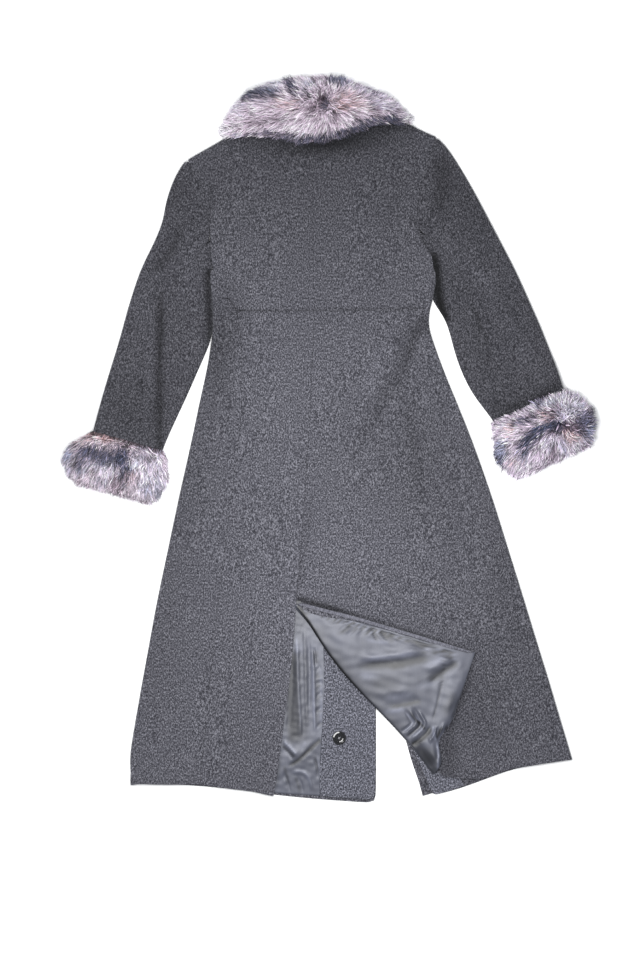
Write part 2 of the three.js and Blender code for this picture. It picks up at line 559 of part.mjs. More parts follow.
// A point in the frame of a cuff: how far past its upper edge, and how far across it.
function inCuff(side, s, across) {
  const { centre, along } = CUFF[side];
  return add(add(centre, along, s), { x: -along.y, y: along.x }, across);
}
function cuffPoints(side) {
  const { outerHalf, innerHalf } = CUFF[side];
  const outerSign = side === 'left' ? -1 : 1;
  return [SLEEVE_STRAIGHT, SLEEVE_END / 2, SLEEVE_END].map((s) => ({
    outer: inCuff(side, s, outerSign * outerHalf),
    inner: inCuff(side, s, -outerSign * innerHalf),
    back: inCuff(side, s, -outerSign * (innerHalf - 26)),
  }));
}
function sleeveRows(side) {
  const sleeve = SLEEVE[side];
  const armhole = ARMHOLE[side];
  const end = cuffPoints(side);
  const outer = [...sleeve.outer, ...end.map((p) => p.outer)];
  const backSeam = [
    ...armhole.slice(0, ELBOW_SEAM_START + 1), ...sleeve.back, ...end.map((p) => p.back),
  ];
  const inner = [...sleeve.inner, ...end.map((p) => p.inner)];
  return { outer, backSeam, inner, spread: [...sleeve.spread, 0, 0, 0] };
}
// The seam beneath a sleeve lies a little inside its inner fold.
const UNDER_SEAM = 14;
function underSeam(side) {
  const { backSeam, inner, spread } = sleeveRows(side);
  const low = backSeam.slice(ELBOW_SEAM_START + 1);
  return low.map((p, k) => {
    const out = unit(p, inner[k]);
    const seam = add(inner[k], out, -UNDER_SEAM);
    return { x: seam.x - spread[k], y: seam.y };
  });
}
function sleeveTop(side) {
  const { outer, backSeam } = sleeveRows(side);
  const seamBelow = [...ARMHOLE[side].slice(0, ELBOW_SEAM_START + 1), ...underSeam(side)];
  const backShares = [0, 0.25, 0.5, 0.75, 1];
  const grid = backSeam.map((p, j) => {
    return foldedRow(p, outer[j], seamBelow[j], backShares, backShares);
  });
  return cloth(`sleeve_${side}_top`, woolLook(), drawIn(grid));
}
function sleeveUnder(side) {
  const { backSeam, inner, spread } = sleeveRows(side);
  const armhole = ARMHOLE[side];
  const seamBelow = underSeam(side);
  const low = backSeam.slice(ELBOW_SEAM_START + 1);
  const first = armhole[ELBOW_SEAM_START];
  // the underarm bunches here, so the sleeve keeps a little further from the bodice
  const tip = add(armhole[armhole.length - 1], OUTWARD[side], 1.3);
  const middle = add(armhole[ELBOW_SEAM_START + 1], OUTWARD[side], 1.1);
  const down = unit(middle, tip);
  const halves = [0, 0.5, 1];
  const start = foldedRow(first, add(tip, down, 1), first, halves, halves, 0, middle);
  const grid = [start];
  low.forEach((p, k) => grid.push(foldedRow(p, inner[k], seamBelow[k], halves, halves, spread[k])));
  return cloth(`sleeve_${side}_under`, woolLook(), drawIn(grid));
}

// ---------------------------------------------------------------- inside of the vent
// A panel that lies on a front, between two edges that are read at each level.
function laidPanel(name, material, thickness, levels, columns, startX, endX, yAt, wave = () => 0) {
  const grid = levels.map((level) => columns.map((u) => {
    const x = lerp(startX(level), endX(level), u);
    const y = yAt(level, x);
    const base = LAP + wave(x, y);
    return { outer: [x, y, base + thickness], inner: [x, y, base] };
  }));
  return cloth(name, material, grid);
}
const FACING_EDGE = [
  { level: 6, x: 14 }, { level: 58, x: 14 }, { level: 110, x: 17 }, { level: 162, x: 20 },
  { level: 214, x: 22 }, { level: 266, x: 21 }, { level: FACING_TOP, x: 20 },
];
// The seam of lining and facing runs straight between the rows of its table.
function facingEdge(level) {
  let k = 0;
  while (k < FACING_EDGE.length - 2 && level > FACING_EDGE[k + 1].level) k += 1;
  const [a, b] = [FACING_EDGE[k], FACING_EDGE[k + 1]];
  return lerp(a.x, b.x, Math.min((level - a.level) / (b.level - a.level), 1));
}
// Soft crossing creases low on the lining strip, and shallow ridges along it.
function stripWave(x, y) {
  const cross = Math.exp(-(((y - 84 - (x + 30) * 0.7) / 11) ** 2)) + Math.exp(-(((y - 92 + (x + 30) * 0.6) / 10) ** 2));
  const ridges = 0.5 + 0.5 * Math.cos(x / 4.2);
  const open = smooth(0, 12, x - body('centre', y));
  return open * (1.6 * cross * smooth(30, 50, y) + 0.8 * ridges * smooth(20, 60, y));
}
function ventInside() {
  const above = (level, x) => level + (1 - smooth(0, 90, level)) * hem(HEM_LEFT, x);
  const frontRight = (level, x) => level + (1 - smooth(0, 90, level)) * hem(HEM_RIGHT_FRONT, x);
  const facingLevels = FACING_EDGE.map((row) => row.level);
  const stripLevels = range(15).map((t) => lerp(6, 396, t));
  const even = range(4);
  const free = (side, level) => frontEdge(side, level) + (side === 'left' ? -1.2 : 1.2);
  return [
    laidPanel('lining_front', satinLook(), SATIN, stripLevels, range(9),
      (level) => body('centre', level) - 26, (level) => facingEdge(level) - SEAM / 2, above, stripWave),
    laidPanel('facing_left', facingLook(), FACING, facingLevels, even,
      (level) => facingEdge(level) + SEAM / 2, (level) => free('left', level), above),
    laidPanel('facing_right', facingLook(), FACING, facingLevels, even,
      (level) => free('right', level), (level) => frontEdge('right', level) + 74, frontRight),
  ];
}

// ---------------------------------------------------------------- turned-back corner
const FLAP_LAYER = BODY_TOP + 0.15;                // height about which the wool turns over
const along = (t) => mix(FLAP.top, FLAP.bottom, t);
const FOLD_LENGTH = Math.hypot(FLAP.bottom.x - FLAP.top.x, FLAP.bottom.y - FLAP.top.y);
// Share of the fold that lies straight across from the flap's free point.
const PEAK = ((FLAP.point.x - FLAP.top.x) * FLAP.turn.y - (FLAP.point.y - FLAP.top.y) * FLAP.turn.x) / FOLD_LENGTH;
// How far the flap reaches from its fold at a share t along it, to its open edge or its hem.
const reachAt = (t) => flapReach(FLAP.point.x, FLAP.point.y) * Math.min(t / PEAK, (1 - t) / (1 - PEAK));
const FLAP_SHARES = [
  ...[0.06, 0.12, 0.2, 0.3, 0.4, 0.5, 0.6, 0.82, 1].map((share) => share * PEAK),
  ...[0.18, 0.36, 0.54, 0.72, 0.86].map((share) => lerp(PEAK, 1, share)),
];
function flapStation(t, turn, distance, outRadius, inRadius, raise = 0) {
  const base = add(along(t), FLAP.turn, SATIN_OUT);
  const away = add(base, FLAP.turn, distance);
  const at = (radius) => [
    away.x - FLAP.turn.x * radius * Math.sin(turn), away.y - FLAP.turn.y * radius * Math.sin(turn),
    FLAP_LAYER - radius * Math.cos(turn) + raise,
  ];
  return { outer: at(outRadius), inner: at(inRadius) };
}
// Height of the satin's folds on the flap: puckers below its upper edge, two long troughs
// between broad swells, and a crumpled tip near the hem.
function satinFold(t, share) {
  const swell = 0.5 + 0.5 * Math.sin(t * 21 + share * 3.4);
  const puckers = (0.5 + 0.5 * Math.cos(t * 110)) * smooth(0.6, 0.95, share) * smooth(0.1, 0.2, t);
  const tip = (0.5 + 0.5 * Math.cos(t * 95 + share * 5)) * smooth(0.68, 0.78, t);
  const inside = Math.sin(Math.PI * Math.min(Math.max(share, 0), 1));
  return inside * (3.4 * swell + 3 * tip) + 1.6 * puckers * (1 - smooth(0.95, 1, share));
}
function ventFlap() {
  const wool = FLAP_SHARES.map((t) => [
    ...range(4).map((k) => flapStation(t, Math.PI * k, 0, FLAP.woolOut, FLAP.woolIn)),
    ...range(6).slice(1).map((u) => flapStation(
      t, Math.PI, u * (reachAt(t) - SATIN_OUT), FLAP.woolOut, FLAP.woolIn)),
  ]);
  const lining = FLAP_SHARES.map((t) => {
    const edge = t < PEAK ? STRIP_WIDTH * 1.25 + SEAM : 2;
    const reach = Math.max(reachAt(t) - SATIN_OUT - edge, 2);
    return [
      flapStation(t, 0, 10, SATIN_OUT, SATIN_OUT - SATIN),
      ...range(4).map((k) => flapStation(t, Math.PI * k, 0, SATIN_OUT, SATIN_OUT - SATIN)),
      ...range(9).slice(1).map((u) => flapStation(
        t, Math.PI, u * reach, SATIN_OUT, SATIN_OUT - SATIN, satinFold(t, u) * Math.min(reach / 60, 1))),
    ];
  });
  const strip = FLAP_SHARES.filter((t) => t > 0.1 && t < PEAK).map((t) => {
    const end = reachAt(t) - SATIN_OUT;
    return [0, 0.5, 1].map((u) => flapStation(
      t, Math.PI, end - STRIP_WIDTH * 1.25 * (1 - u), SATIN_OUT + 0.6, SATIN_OUT - SATIN));
  });
  return [
    cloth('vent_flap', woolLook(), wool),
    cloth('vent_flap_lining', satinLook(), lining),
    cloth('vent_flap_edge', facingLook(), strip),
  ];
}

// ---------------------------------------------------------------- fur
const power = (value, exponent) => Math.sign(value) * Math.abs(value) ** exponent;
function furCuff(side) {
  const cuff = CUFF[side];
  const outerSign = side === 'left' ? -1 : 1;
  const count = 28;
  const place = (s, across, z) => {
    const p = inCuff(side, s, across);
    return [p.x, p.y, z];
  };
  const fur = (row) => Array.from({ length: count }, (_, k) => {
    const angle = 2 * Math.PI * k / count;
    const wide = power(Math.cos(angle), 0.75);
    const half = (wide * outerSign > 0) ? row.outer : row.inner;
    const high = CUFF_CROWN * row.height;
    const floor = row.height < 0.7 ? 4 : 0;
    const rise = 0.5 + 0.5 * power(Math.sin(angle), 0.62);
    return place(row.s, wide * half, rise < 0.08 ? floor : Math.max(floor, high * rise));
  });
  // The slot follows the sleeve's own section, half a millimetre clear of it.
  const clear = 0.5;
  const slot = (s) => Array.from({ length: count }, (_, k) => {
    const angle = 2 * Math.PI * k / count;
    const radius = FOLD_OUT + clear;
    const half = (Math.cos(angle) * outerSign > 0 ? cuff.outerHalf : cuff.innerHalf) - FOLD_OUT;
    const share = THREE.MathUtils.clamp(Math.cos(angle) * 1.35, -1, 1);
    const bend = Math.max(Math.abs(Math.cos(angle)) * 1.35 - 1, 0) / 0.35;
    const across = share * half + Math.sign(share) * radius * Math.sin(bend * Math.PI / 2);
    const z = CUFF_RISE + FOLD_OUT + Math.sign(Math.sin(angle)) * radius * Math.cos(bend * Math.PI / 2);
    return place(s, across, Math.abs(bend - 1) < 1e-6 ? CUFF_RISE + FOLD_OUT : z);
  });
  const rows = cuff.rows;
  const slots = [rows[rows.length - 1].s, 60, 30, rows[0].s].map(slot);
  return fromRings(`fur_cuff_${side}`, furLook(), [...rows.map(fur), ...slots], true);
}

const backTop = [
  ...SHOULDER.left, ...BACK_NECK.left, ...[...BACK_NECK.right].reverse().slice(1), ...[...SHOULDER.right].reverse(),
];
function furCollar() {
  const lying = BODY_TOP + 0.6;
  const crown = [[0, 0.1], [0.03, 0.42], [0.12, 0.74], [0.3, 0.95], [0.5, 1], [0.7, 0.97], [0.86, 0.78], [0.96, 0.45], [1, 0.16]];
  const rings = COLLAR.map((row) => {
    const edge = { x: row.edgeX, y: row.edgeY };
    const out = { x: row.outX, y: row.outY };
    // share of the section that lies on the back, up to just past the neck or shoulder edge
    let share = 0.03;
    for (const t of range(200)) {
      const p = mix(edge, out, t);
      if (p.x > backTop[0].x && p.x < backTop[backTop.length - 1].x
        && p.y < read(backTop, 'x', 'y', p.x) + 5) share = Math.max(share, t);
    }
    const high = COLLAR_CROWN * row.height;
    const over = crown.map(([t, z]) => {
      const p = mix(edge, out, t);
      const low = t < 0.5 ? lying : 0;
      return [p.x, p.y, low + z * (high - low)];
    });
    const under = [[0.985, 0], [Math.min(share + 0.02, 0.97), 0], [share, lying], [share / 2, lying]].map(([t, z]) => {
      const p = mix(edge, out, t);
      return [p.x, p.y, z];
    });
    return [...over, ...under];
  });
  return fromRings('fur_collar', furLook(), rings, false);
}

// ---------------------------------------------------------------- spare button
async function spareButton() {
  const wasm = await Module();
  wasm.setup();
  const toSolid = (geometry) => {
    const bare = geometry.index ? geometry.toNonIndexed() : geometry;
    bare.deleteAttribute('normal');
    bare.deleteAttribute('uv');
    const merged = mergeVertices(bare);
    return new wasm.Manifold(new wasm.Mesh({
      numProp: 3, vertProperties: merged.attributes.position.array, triVerts: merged.index.array,
    }));
  };
  const r = BUTTON_DIAMETER / 2;
  const profile = [
    [0, 0], [r - 2.4, 0], [r - 0.7, 0.9], [r, 2.1], [r - 0.3, 3.3], [r - 1.3, 3.9],
    [r - 2.6, 3.7], [r - 4.2, 2.7], [r - 6.5, 2.4], [0, 2.4],
  ].map(([x, y]) => new THREE.Vector2(x, y));
  let disc = toSolid(new THREE.LatheGeometry(profile, 28).rotateX(Math.PI / 2));
  const holeSpacing = 2.5;
  for (const [sx, sy] of [[1, 1], [1, -1], [-1, 1], [-1, -1]]) {
    const hole = new THREE.CylinderGeometry(1.05, 1.05, 10, 8).rotateX(Math.PI / 2);
    hole.translate(sx * holeSpacing, sy * holeSpacing, 1);
    disc = disc.subtract(toSolid(hole));
  }
  const cut = disc.getMesh();
  const geometry = new THREE.BufferGeometry();
  geometry.setAttribute('position', new THREE.BufferAttribute(new Float32Array(cut.vertProperties), 3));
  geometry.setIndex(new THREE.BufferAttribute(new Uint32Array(cut.triVerts), 1));
  geometry.computeVertexNormals();
  const mesh = new THREE.Mesh(geometry, buttonLook());
  mesh.name = 'button';
  mesh.position.set(49, 117, LAP + FACING + SEAM);
  return mesh;
}

// ---------------------------------------------------------------- the coat
const group = new THREE.Group();
for (const side of ['left', 'right']) {
  group.add(backBodice(side));
  group.add(frontBodice(side));
  group.add(frontSkirt(side));
  group.add(sleeveTop(side));
  group.add(sleeveUnder(side));
  group.add(furCuff(side));
}
group.add(backSkirtLeft(), backSkirtRight());
group.add(...ventInside());
group.add(...ventFlap());
group.add(furCollar());
group.add(await spareButton());

const footprint = new THREE.Box3().setFromObject(group);
const middle = footprint.getCenter(new THREE.Vector3());
group.position.set(-middle.x, -middle.y, -footprint.min.z);
group.updateMatrixWorld(true);

export default group;
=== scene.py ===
# %% [markdown]
# # A maxi coat, laid flat on its front
#
# The coat is charcoal melange wool with a fur collar and fur cuffs. It lies face down on a
# white surface, so we see its back. One corner of the open vent is turned over, which shows
# the satin lining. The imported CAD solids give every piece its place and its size. This lesson
# turns them into cloth, satin, fur and a button. It works in the same order as a dressmaker:
# first the cloths are chosen, then the pieces are cut and sewn, and the trimmings come last.

# %% Load the cut pieces
import math

import bpy
import numpy as np
from mathutils import Matrix, Vector
from mathutils.bvhtree import BVHTree
from mathutils.kdtree import KDTree


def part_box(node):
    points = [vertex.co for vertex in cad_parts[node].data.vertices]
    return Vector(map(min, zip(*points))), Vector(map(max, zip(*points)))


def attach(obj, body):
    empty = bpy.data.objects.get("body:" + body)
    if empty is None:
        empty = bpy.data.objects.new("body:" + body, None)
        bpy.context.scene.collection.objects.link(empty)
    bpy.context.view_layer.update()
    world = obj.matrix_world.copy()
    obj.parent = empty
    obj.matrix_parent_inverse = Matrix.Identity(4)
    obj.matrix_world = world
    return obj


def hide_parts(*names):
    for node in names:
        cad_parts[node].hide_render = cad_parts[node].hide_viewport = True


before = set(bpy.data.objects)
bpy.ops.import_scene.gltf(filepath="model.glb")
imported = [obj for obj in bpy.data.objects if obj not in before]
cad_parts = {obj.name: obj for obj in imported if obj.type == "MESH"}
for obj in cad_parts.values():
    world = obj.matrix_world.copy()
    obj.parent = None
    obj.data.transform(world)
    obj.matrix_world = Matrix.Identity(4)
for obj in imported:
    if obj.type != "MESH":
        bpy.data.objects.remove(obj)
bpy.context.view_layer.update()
MM = 0.001
print("cut pieces:", len(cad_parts))


# %% [markdown]
# Nearly every operator in Blender acts on whatever is selected. Loading leaves the cut pieces
# selected, so we need one habit before anything else: deselect everything, then pick the
# piece that we mean.

# %% Picking pieces
def pick(*pieces):
    """Selects these pieces and nothing else, the last one as the active piece."""
    bpy.ops.object.select_all(action="DESELECT")
    for piece in pieces:
        piece.select_set(True)
    bpy.context.view_layer.objects.active = pieces[-1]


pick(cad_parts["button"])


# %% [markdown]
# A coat is laid out on a white table and looked at from straight above. A long lens far away
# keeps the sleeves and the hem from leaning outwards. We put it five metres up, and work out
# its focal length from the width of table that it has to see.

# %% Camera
CAMERA_HEIGHT = 5.0
CLOTH_HEIGHT = 0.006
TABLE_SEEN = 1.728
TABLE_MIDDLE = (-0.0151, -0.0727)
SENSOR = 36.0
bpy.ops.object.camera_add(location=(*TABLE_MIDDLE, CAMERA_HEIGHT), rotation=(0, 0, 0))
camera = bpy.context.object
camera.data.sensor_width = SENSOR
camera.data.lens = SENSOR * (CAMERA_HEIGHT - CLOTH_HEIGHT) / TABLE_SEEN
camera.data.clip_end = 50
bpy.context.scene.camera = camera
print("lens:", round(camera.data.lens, 1), "mm")

# %% [markdown]
# Dark wool shows its folds only if the light has a direction, and satin needs something to
# reflect. One large softbox hangs over the lower half of the coat, a second one leans in from
# the upper left, and the white room fills the shadows. The table is brighter than the cloth
# by far, so it goes to plain white.

# %% Light and table
def softbox(name, place, aim, size, watts):
    """A square area light at a place, turned towards the point that it lights."""
    bpy.ops.object.light_add(type="AREA", location=place)
    lamp = bpy.context.object
    lamp.name = name
    lamp.data.shape = "SQUARE"
    lamp.data.size = size
    lamp.data.energy = watts
    lamp.rotation_mode = "QUATERNION"
    lamp.rotation_quaternion = (Vector(aim) - Vector(place)).to_track_quat("-Z", "Y")


softbox("overhead softbox", (-0.03, -0.22, 1.4), (-0.03, -0.22, 0), 0.7, 25)
softbox("upper left softbox", (-1.5, 1.5, 1.7), (0, 0, 0), 0.8, 36)
room = bpy.data.worlds.new("white room")
room.use_nodes = True
room.node_tree.nodes["Background"].inputs["Color"].default_value = (0.93, 0.96, 1.0, 1)
room.node_tree.nodes["Background"].inputs["Strength"].default_value = 0.45
bpy.context.scene.world = room
bpy.context.scene.view_settings.view_transform = "Standard"

TABLE_SIZE = 14
TABLE_TOP = -0.0004                          # just below the cloth
bpy.ops.mesh.primitive_plane_add(size=TABLE_SIZE, location=(0, 0, TABLE_TOP))
table = bpy.context.object
table.name = "table_top"


# %% [markdown]
# A material is a small network of nodes. Written node by node it is hard to read, so we wrap
# a socket in a class and let Python's operators add the Math nodes. `0.6 * grain + fleck` then
# means what it says. One method adds every other kind of node.

# %% Shader bench
class Wire:
    """One output of a node. Arithmetic on it adds Math nodes to the same material."""

    def __init__(self, cloth, socket):
        self.cloth = cloth
        self.socket = socket

    def _sum(self, operation, first, second):
        return self.cloth.add("ShaderNodeMath", {"operation": operation}, {0: first, 1: second})

    def __add__(self, other):
        return self._sum("ADD", self, other)

    def __sub__(self, other):
        return self._sum("SUBTRACT", self, other)

    def __rsub__(self, other):
        return self._sum("SUBTRACT", other, self)

    def __mul__(self, other):
        return self._sum("MULTIPLY", self, other)

    __radd__ = __add__
    __rmul__ = __mul__


class Finish:
    """A material under construction, with its Principled shader."""

    def __init__(self, name, **fixed):
        self.material = bpy.data.materials.new(name)
        self.material.use_nodes = True
        self.tree = self.material.node_tree
        self.surface = self.tree.nodes["Principled BSDF"]
        for socket, value in fixed.items():
            self.surface.inputs[socket.replace("_", " ")].default_value = value

    def add(self, kind, settings, sockets, output=0):
        """Adds a node, sets it up, feeds its sockets, and returns one of its outputs."""
        node = self.tree.nodes.new(kind)
        for setting, value in settings.items():
            if setting == "stops":
                self._stops(node.color_ramp, value)
            else:
                setattr(node, setting, value)
        for socket, value in sockets.items():
            self._feed(node.inputs[socket], value)
        return Wire(self, node.outputs[output])

    def _stops(self, ramp, stops):
        while len(ramp.elements) < len(stops):
            ramp.elements.new(0.5)
        for element, (position, colour) in zip(ramp.elements, stops):
            element.position = position
            element.color = (*colour, 1)

    def _feed(self, socket, value):
        if isinstance(value, Wire):
            self.tree.links.new(value.socket, socket)
        else:
            socket.default_value = value

    def feed(self, name, value):
        self._feed(self.surface.inputs[name], value)

    def place(self, stretch=(1, 1, 1), turn=0.0):
        """Where on the coat we are, in metres, with a pattern's stretch and turn."""
        spot = self.add("ShaderNodeTexCoord", {}, {}, "Object")
        mapped = {"Vector": spot, "Scale": stretch, "Rotation": (0, 0, turn)}
        return self.add("ShaderNodeMapping", {}, mapped)

    def noise(self, where, scale, detail=2.0, roughness=0.5):
        sockets = {"Vector": where, "Scale": scale, "Detail": detail, "Roughness": roughness}
        return self.add("ShaderNodeTexNoise", {}, sockets)

    def ramp(self, value, stops):
        return self.add("ShaderNodeValToRGB", {"stops": stops}, {"Fac": value})

    def carried(self, name):
        """A number that each point of the piece carries, from 0 up."""
        return self.add("ShaderNodeAttribute", {"attribute_name": name}, {}, "Fac")

    def shaded(self, colour, *shades):
        """The colour multiplied by one grey after the other."""
        settings = {"data_type": "RGBA", "blend_type": "MULTIPLY"}
        for shade in shades:
            colour = self.add("ShaderNodeMix", settings, {"Factor": 1.0, 6: colour, 7: shade}, 2)
        return colour

    def relief(self, height, distance, strength=1.0):
        """Turns a height from 0 to 1 into small bumps of this depth, in metres."""
        sockets = {"Height": height, "Distance": distance, "Strength": strength}
        self.feed("Normal", self.add("ShaderNodeBump", {}, sockets))


# %% [markdown]
# The table is a sheet of white card. It has no pattern that could show through, only a faint
# unevenness, and it is matt so that the lamps leave no bright patches on it.

# %% White card
card = Finish("white_card", Roughness=0.9)
uneven_white = [(0.3, (0.93, 0.93, 0.93)), (0.7, (0.95, 0.95, 0.95))]
card.feed("Base Color", card.ramp(card.noise(card.place(), 3.0), uneven_white))
table.data.materials.append(card.material)

# %% [markdown]
# Melange wool is spun from black, grey and nearly white fibres together. Seen from a metre or
# two it is a salt-and-pepper cloth: flecks two to four millimetres long, a little longer down
# the grain than across it. Two noises of different size give the flecks, a ramp sorts them
# into dark, middle and pale yarn, and a very slow noise keeps the cloth from looking printed.
# The same flecks lift the surface a tenth of a millimetre, which is what brushed wool does.

# %% Melange wool
YARN_FLECKS = 460                            # noise scales, per metre
FIBRE_FLECKS = 1050
WEAR_PATCHES = 9
WORN = [(0.3, (0.92, 0.92, 0.93)), (0.7, (1.0, 1.0, 1.0))]
SEAM_SHADOW = [(0.0, (0.5, 0.5, 0.5)), (0.07, (0.66, 0.66, 0.66)), (0.16, (1, 1, 1))]


def melange(name, dark, middle, pale):
    """Charcoal wool of three yarn colours."""
    wool = Finish(name, Roughness=0.92, Sheen_Weight=0.12, Sheen_Roughness=0.5)
    wool.surface.inputs["Specular IOR Level"].default_value = 0.2
    down = wool.place(stretch=(1.0, 0.62, 1.0))
    yarn = wool.noise(down, YARN_FLECKS, roughness=0.65)
    slanting = wool.place(stretch=(1.0, 0.8, 1.0), turn=0.4)
    fibre = wool.noise(slanting, FIBRE_FLECKS, roughness=0.6)
    fleck = 0.6 * yarn + 0.4 * fibre
    colour = wool.ramp(fleck, [(0.36, dark), (0.49, middle), (0.66, pale)])
    worn = wool.ramp(wool.noise(wool.place(), WEAR_PATCHES), WORN)
    seam = wool.ramp(wool.carried("rim"), SEAM_SHADOW)
    # The carried tone multiplies in the painted light and shade of each piece.
    wool.feed("Base Color", wool.shaded(colour, worn, seam, wool.carried("tone")))
    wool.relief(fleck, 0.6 * MM, 0.8)
    return wool.material


wool_cloth = melange(
    "melange_wool", (0.009, 0.009, 0.012), (0.049, 0.0488, 0.060), (0.256, 0.254, 0.288)
)
wool_facing = melange(
    "melange_wool_facing", (0.007, 0.007, 0.010), (0.056, 0.058, 0.072), (0.33, 0.33, 0.39)
)
hem_tape = melange(
    "hem_tape", (0.055, 0.055, 0.066), (0.098, 0.098, 0.118), (0.19, 0.19, 0.225)
)

# %% [markdown]
# The lining is a grey satin. Its long threads lie side by side, so it shines, and every
# gather turns into a light and a dark band. A part of metal in the shader gives that
# silky mirror, and a very fine stretched noise breaks the shine up as threads do.

# %% Lining satin
satin = Finish("lining_satin", Roughness=0.36, Metallic=0.12)
satin.surface.inputs["Specular IOR Level"].default_value = 0.4
threads = satin.noise(satin.place(stretch=(1.0, 0.05, 1.0), turn=0.2), 900, detail=1.0)
cloudy = satin.noise(satin.place(), 22)
slate_greys = [(0.3, (0.052, 0.055, 0.072)), (0.7, (0.070, 0.074, 0.098))]
weave = satin.ramp(0.3 * threads + 0.7 * cloudy, slate_greys)
# The carried tone multiplies in the painted light and shade of the satin's folds.
satin.feed("Base Color", satin.shaded(weave, satin.carried("tone")))
satin.feed("Roughness", 0.34 + 0.12 * cloudy)
satin.relief(threads, 0.05 * MM, 0.4)

# %% [markdown]
# Each hair of the fur carries its own colour, from its root to its tip, with some painted shade
# along the lower edge of the collar. The hair mesh stores it in an attribute, and the material only
# has to read it. The pelt beneath is darker and slightly mottled, like the skin and underfur that
# show between hairs.

# %% Fur hair and pelt
hair_finish = Finish("fur_hair", Roughness=0.55)
hair_finish.surface.inputs["Specular IOR Level"].default_value = 0.25
hair_colour = hair_finish.add("ShaderNodeAttribute", {"attribute_name": "dye"}, {})
hair_finish.feed("Base Color", hair_colour)
pelt_finish = Finish("fur_pelt", Roughness=0.9)
mottled = pelt_finish.noise(pelt_finish.place(), 60, detail=3.0)
underfur = [(0.3, (0.05, 0.042, 0.055)), (0.7, (0.16, 0.13, 0.15))]
pelt_finish.feed("Base Color", pelt_finish.ramp(mottled, underfur))
pelt_finish.relief(mottled, 1.0 * MM)

# %% [markdown]
# The spare button is polished black horn-like plastic, and it is sewn on with grey thread.
# Plastic that has been handled has hair-fine scratches, so its roughness varies a little.

# %% Button gloss and sewing thread
gloss = Finish("black_gloss", Coat_Weight=1.0, Coat_Roughness=0.04)
gloss.surface.inputs["Specular IOR Level"].default_value = 0.1
scuffs = gloss.noise(gloss.place(stretch=(1, 6, 1)), 260, detail=3.0)
blacks = [(0.35, (0.004, 0.004, 0.005)), (0.75, (0.012, 0.012, 0.014))]
gloss.feed("Base Color", gloss.ramp(scuffs, blacks))
gloss.feed("Roughness", 0.06 + 0.08 * scuffs)
thread = Finish("sewing_thread", Roughness=0.6, Sheen_Weight=0.2)
ply = thread.noise(thread.place(turn=0.6), 2600, detail=1.0)
greys = [(0.35, (0.30, 0.30, 0.33)), (0.65, (0.62, 0.62, 0.66))]
thread.feed("Base Color", thread.ramp(ply, greys))
thread.relief(ply, 0.1 * MM)


# %% [markdown]
# The cut pieces are thin closed walls on a coarse grid. Cloth needs a finer one. We copy a
# piece, weld its loose triangles, pair them into four-sided faces, and mark the rim as a
# crease so that Subdivision Surface keeps the cut edge where it is.

# %% Refining a cut piece
SAME_POINT = 0.01 * MM
FLAT_PAIR = math.radians(40)                 # two triangles that lean less than this make one face
SQUARE_PAIR = math.radians(70)
CUT_EDGE = math.radians(62)


def refined(node, name, levels):
    """A copy of a cut piece on a finer grid, with its own name."""
    piece = bpy.data.objects.new(name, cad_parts[node].data.copy())
    bpy.context.scene.collection.objects.link(piece)
    piece.data.materials.clear()
    pick(piece)
    bpy.ops.object.mode_set(mode="EDIT")
    bpy.ops.mesh.select_mode(type="EDGE")
    bpy.ops.mesh.select_all(action="SELECT")
    bpy.ops.mesh.remove_doubles(threshold=SAME_POINT)
    bpy.ops.mesh.tris_convert_to_quads(face_threshold=FLAT_PAIR, shape_threshold=SQUARE_PAIR)
    bpy.ops.mesh.select_all(action="DESELECT")
    bpy.ops.mesh.edges_select_sharp(sharpness=CUT_EDGE)
    bpy.ops.transform.edge_crease(value=1.0)
    bpy.ops.object.mode_set(mode="OBJECT")
    grid = piece.modifiers.new("finer grid", "SUBSURF")
    grid.levels = grid.render_levels = levels
    bpy.ops.object.modifier_apply(modifier=grid.name)
    return piece


def corners_of(piece):
    """The piece's points in millimetres, one row each."""
    flat = np.empty(len(piece.data.vertices) * 3)
    piece.data.vertices.foreach_get("co", flat)
    return flat.reshape(-1, 3) / MM


def put_corners(piece, corners):
    piece.data.vertices.foreach_set("co", (corners * MM).ravel())
    piece.data.update()


# %% [markdown]
# Laid cloth is never quite flat. Its creases are soft troughs and ridges, each with a place,
# a width and a height, so that is how we write them down. A trough may be steep on one side
# and soft on the other, like a tuck. Between its two ends it fades in and out. Widths and
# heights are in millimetres, and a negative height is a trough.

# %% Creases
WAVES = 14                                   # in a ripple, each with its own direction


def eased(low, high, value):
    """0 below low, 1 above high, and a smooth rise between them."""
    t = np.clip((value - low) / (high - low), 0, 1)
    return t * t * (3 - 2 * t)


def rounded_path(points):
    """Cuts the corners of a line of points three times, until it reads as a curve."""
    path = np.array(points, float)
    for _ in range(3):
        near = 0.75 * path[:-1] + 0.25 * path[1:]
        far = 0.25 * path[:-1] + 0.75 * path[1:]
        middle = np.stack([near, far], 1).reshape(-1, 2)
        path = np.vstack([path[:1], middle, path[-1:]])
    return path


def beside(spots, path):
    """Each spot's distance to the left of a path, and how far along it lies from 0 to 1."""
    best = np.full(len(spots), 1e9)
    aside = np.zeros(len(spots))
    along = np.zeros(len(spots))
    steps = np.diff(path, axis=0)
    lengths = np.hypot(*steps.T)
    start = np.concatenate([[0], np.cumsum(lengths)])
    for k in np.nonzero(lengths > 1e-6)[0]:
        away = spots - path[k]
        unit = steps[k] / lengths[k]
        t = np.clip(away @ unit, 0, lengths[k])
        gap = away - t[:, None] * unit
        distance = np.hypot(*gap.T)
        closer = distance < best
        side = np.sign(unit[0] * away[:, 1] - unit[1] * away[:, 0])
        best = np.where(closer, distance, best)
        aside = np.where(closer, side * distance, aside)
        along = np.where(closer, (start[k] + t) / start[-1], along)
    return aside, along


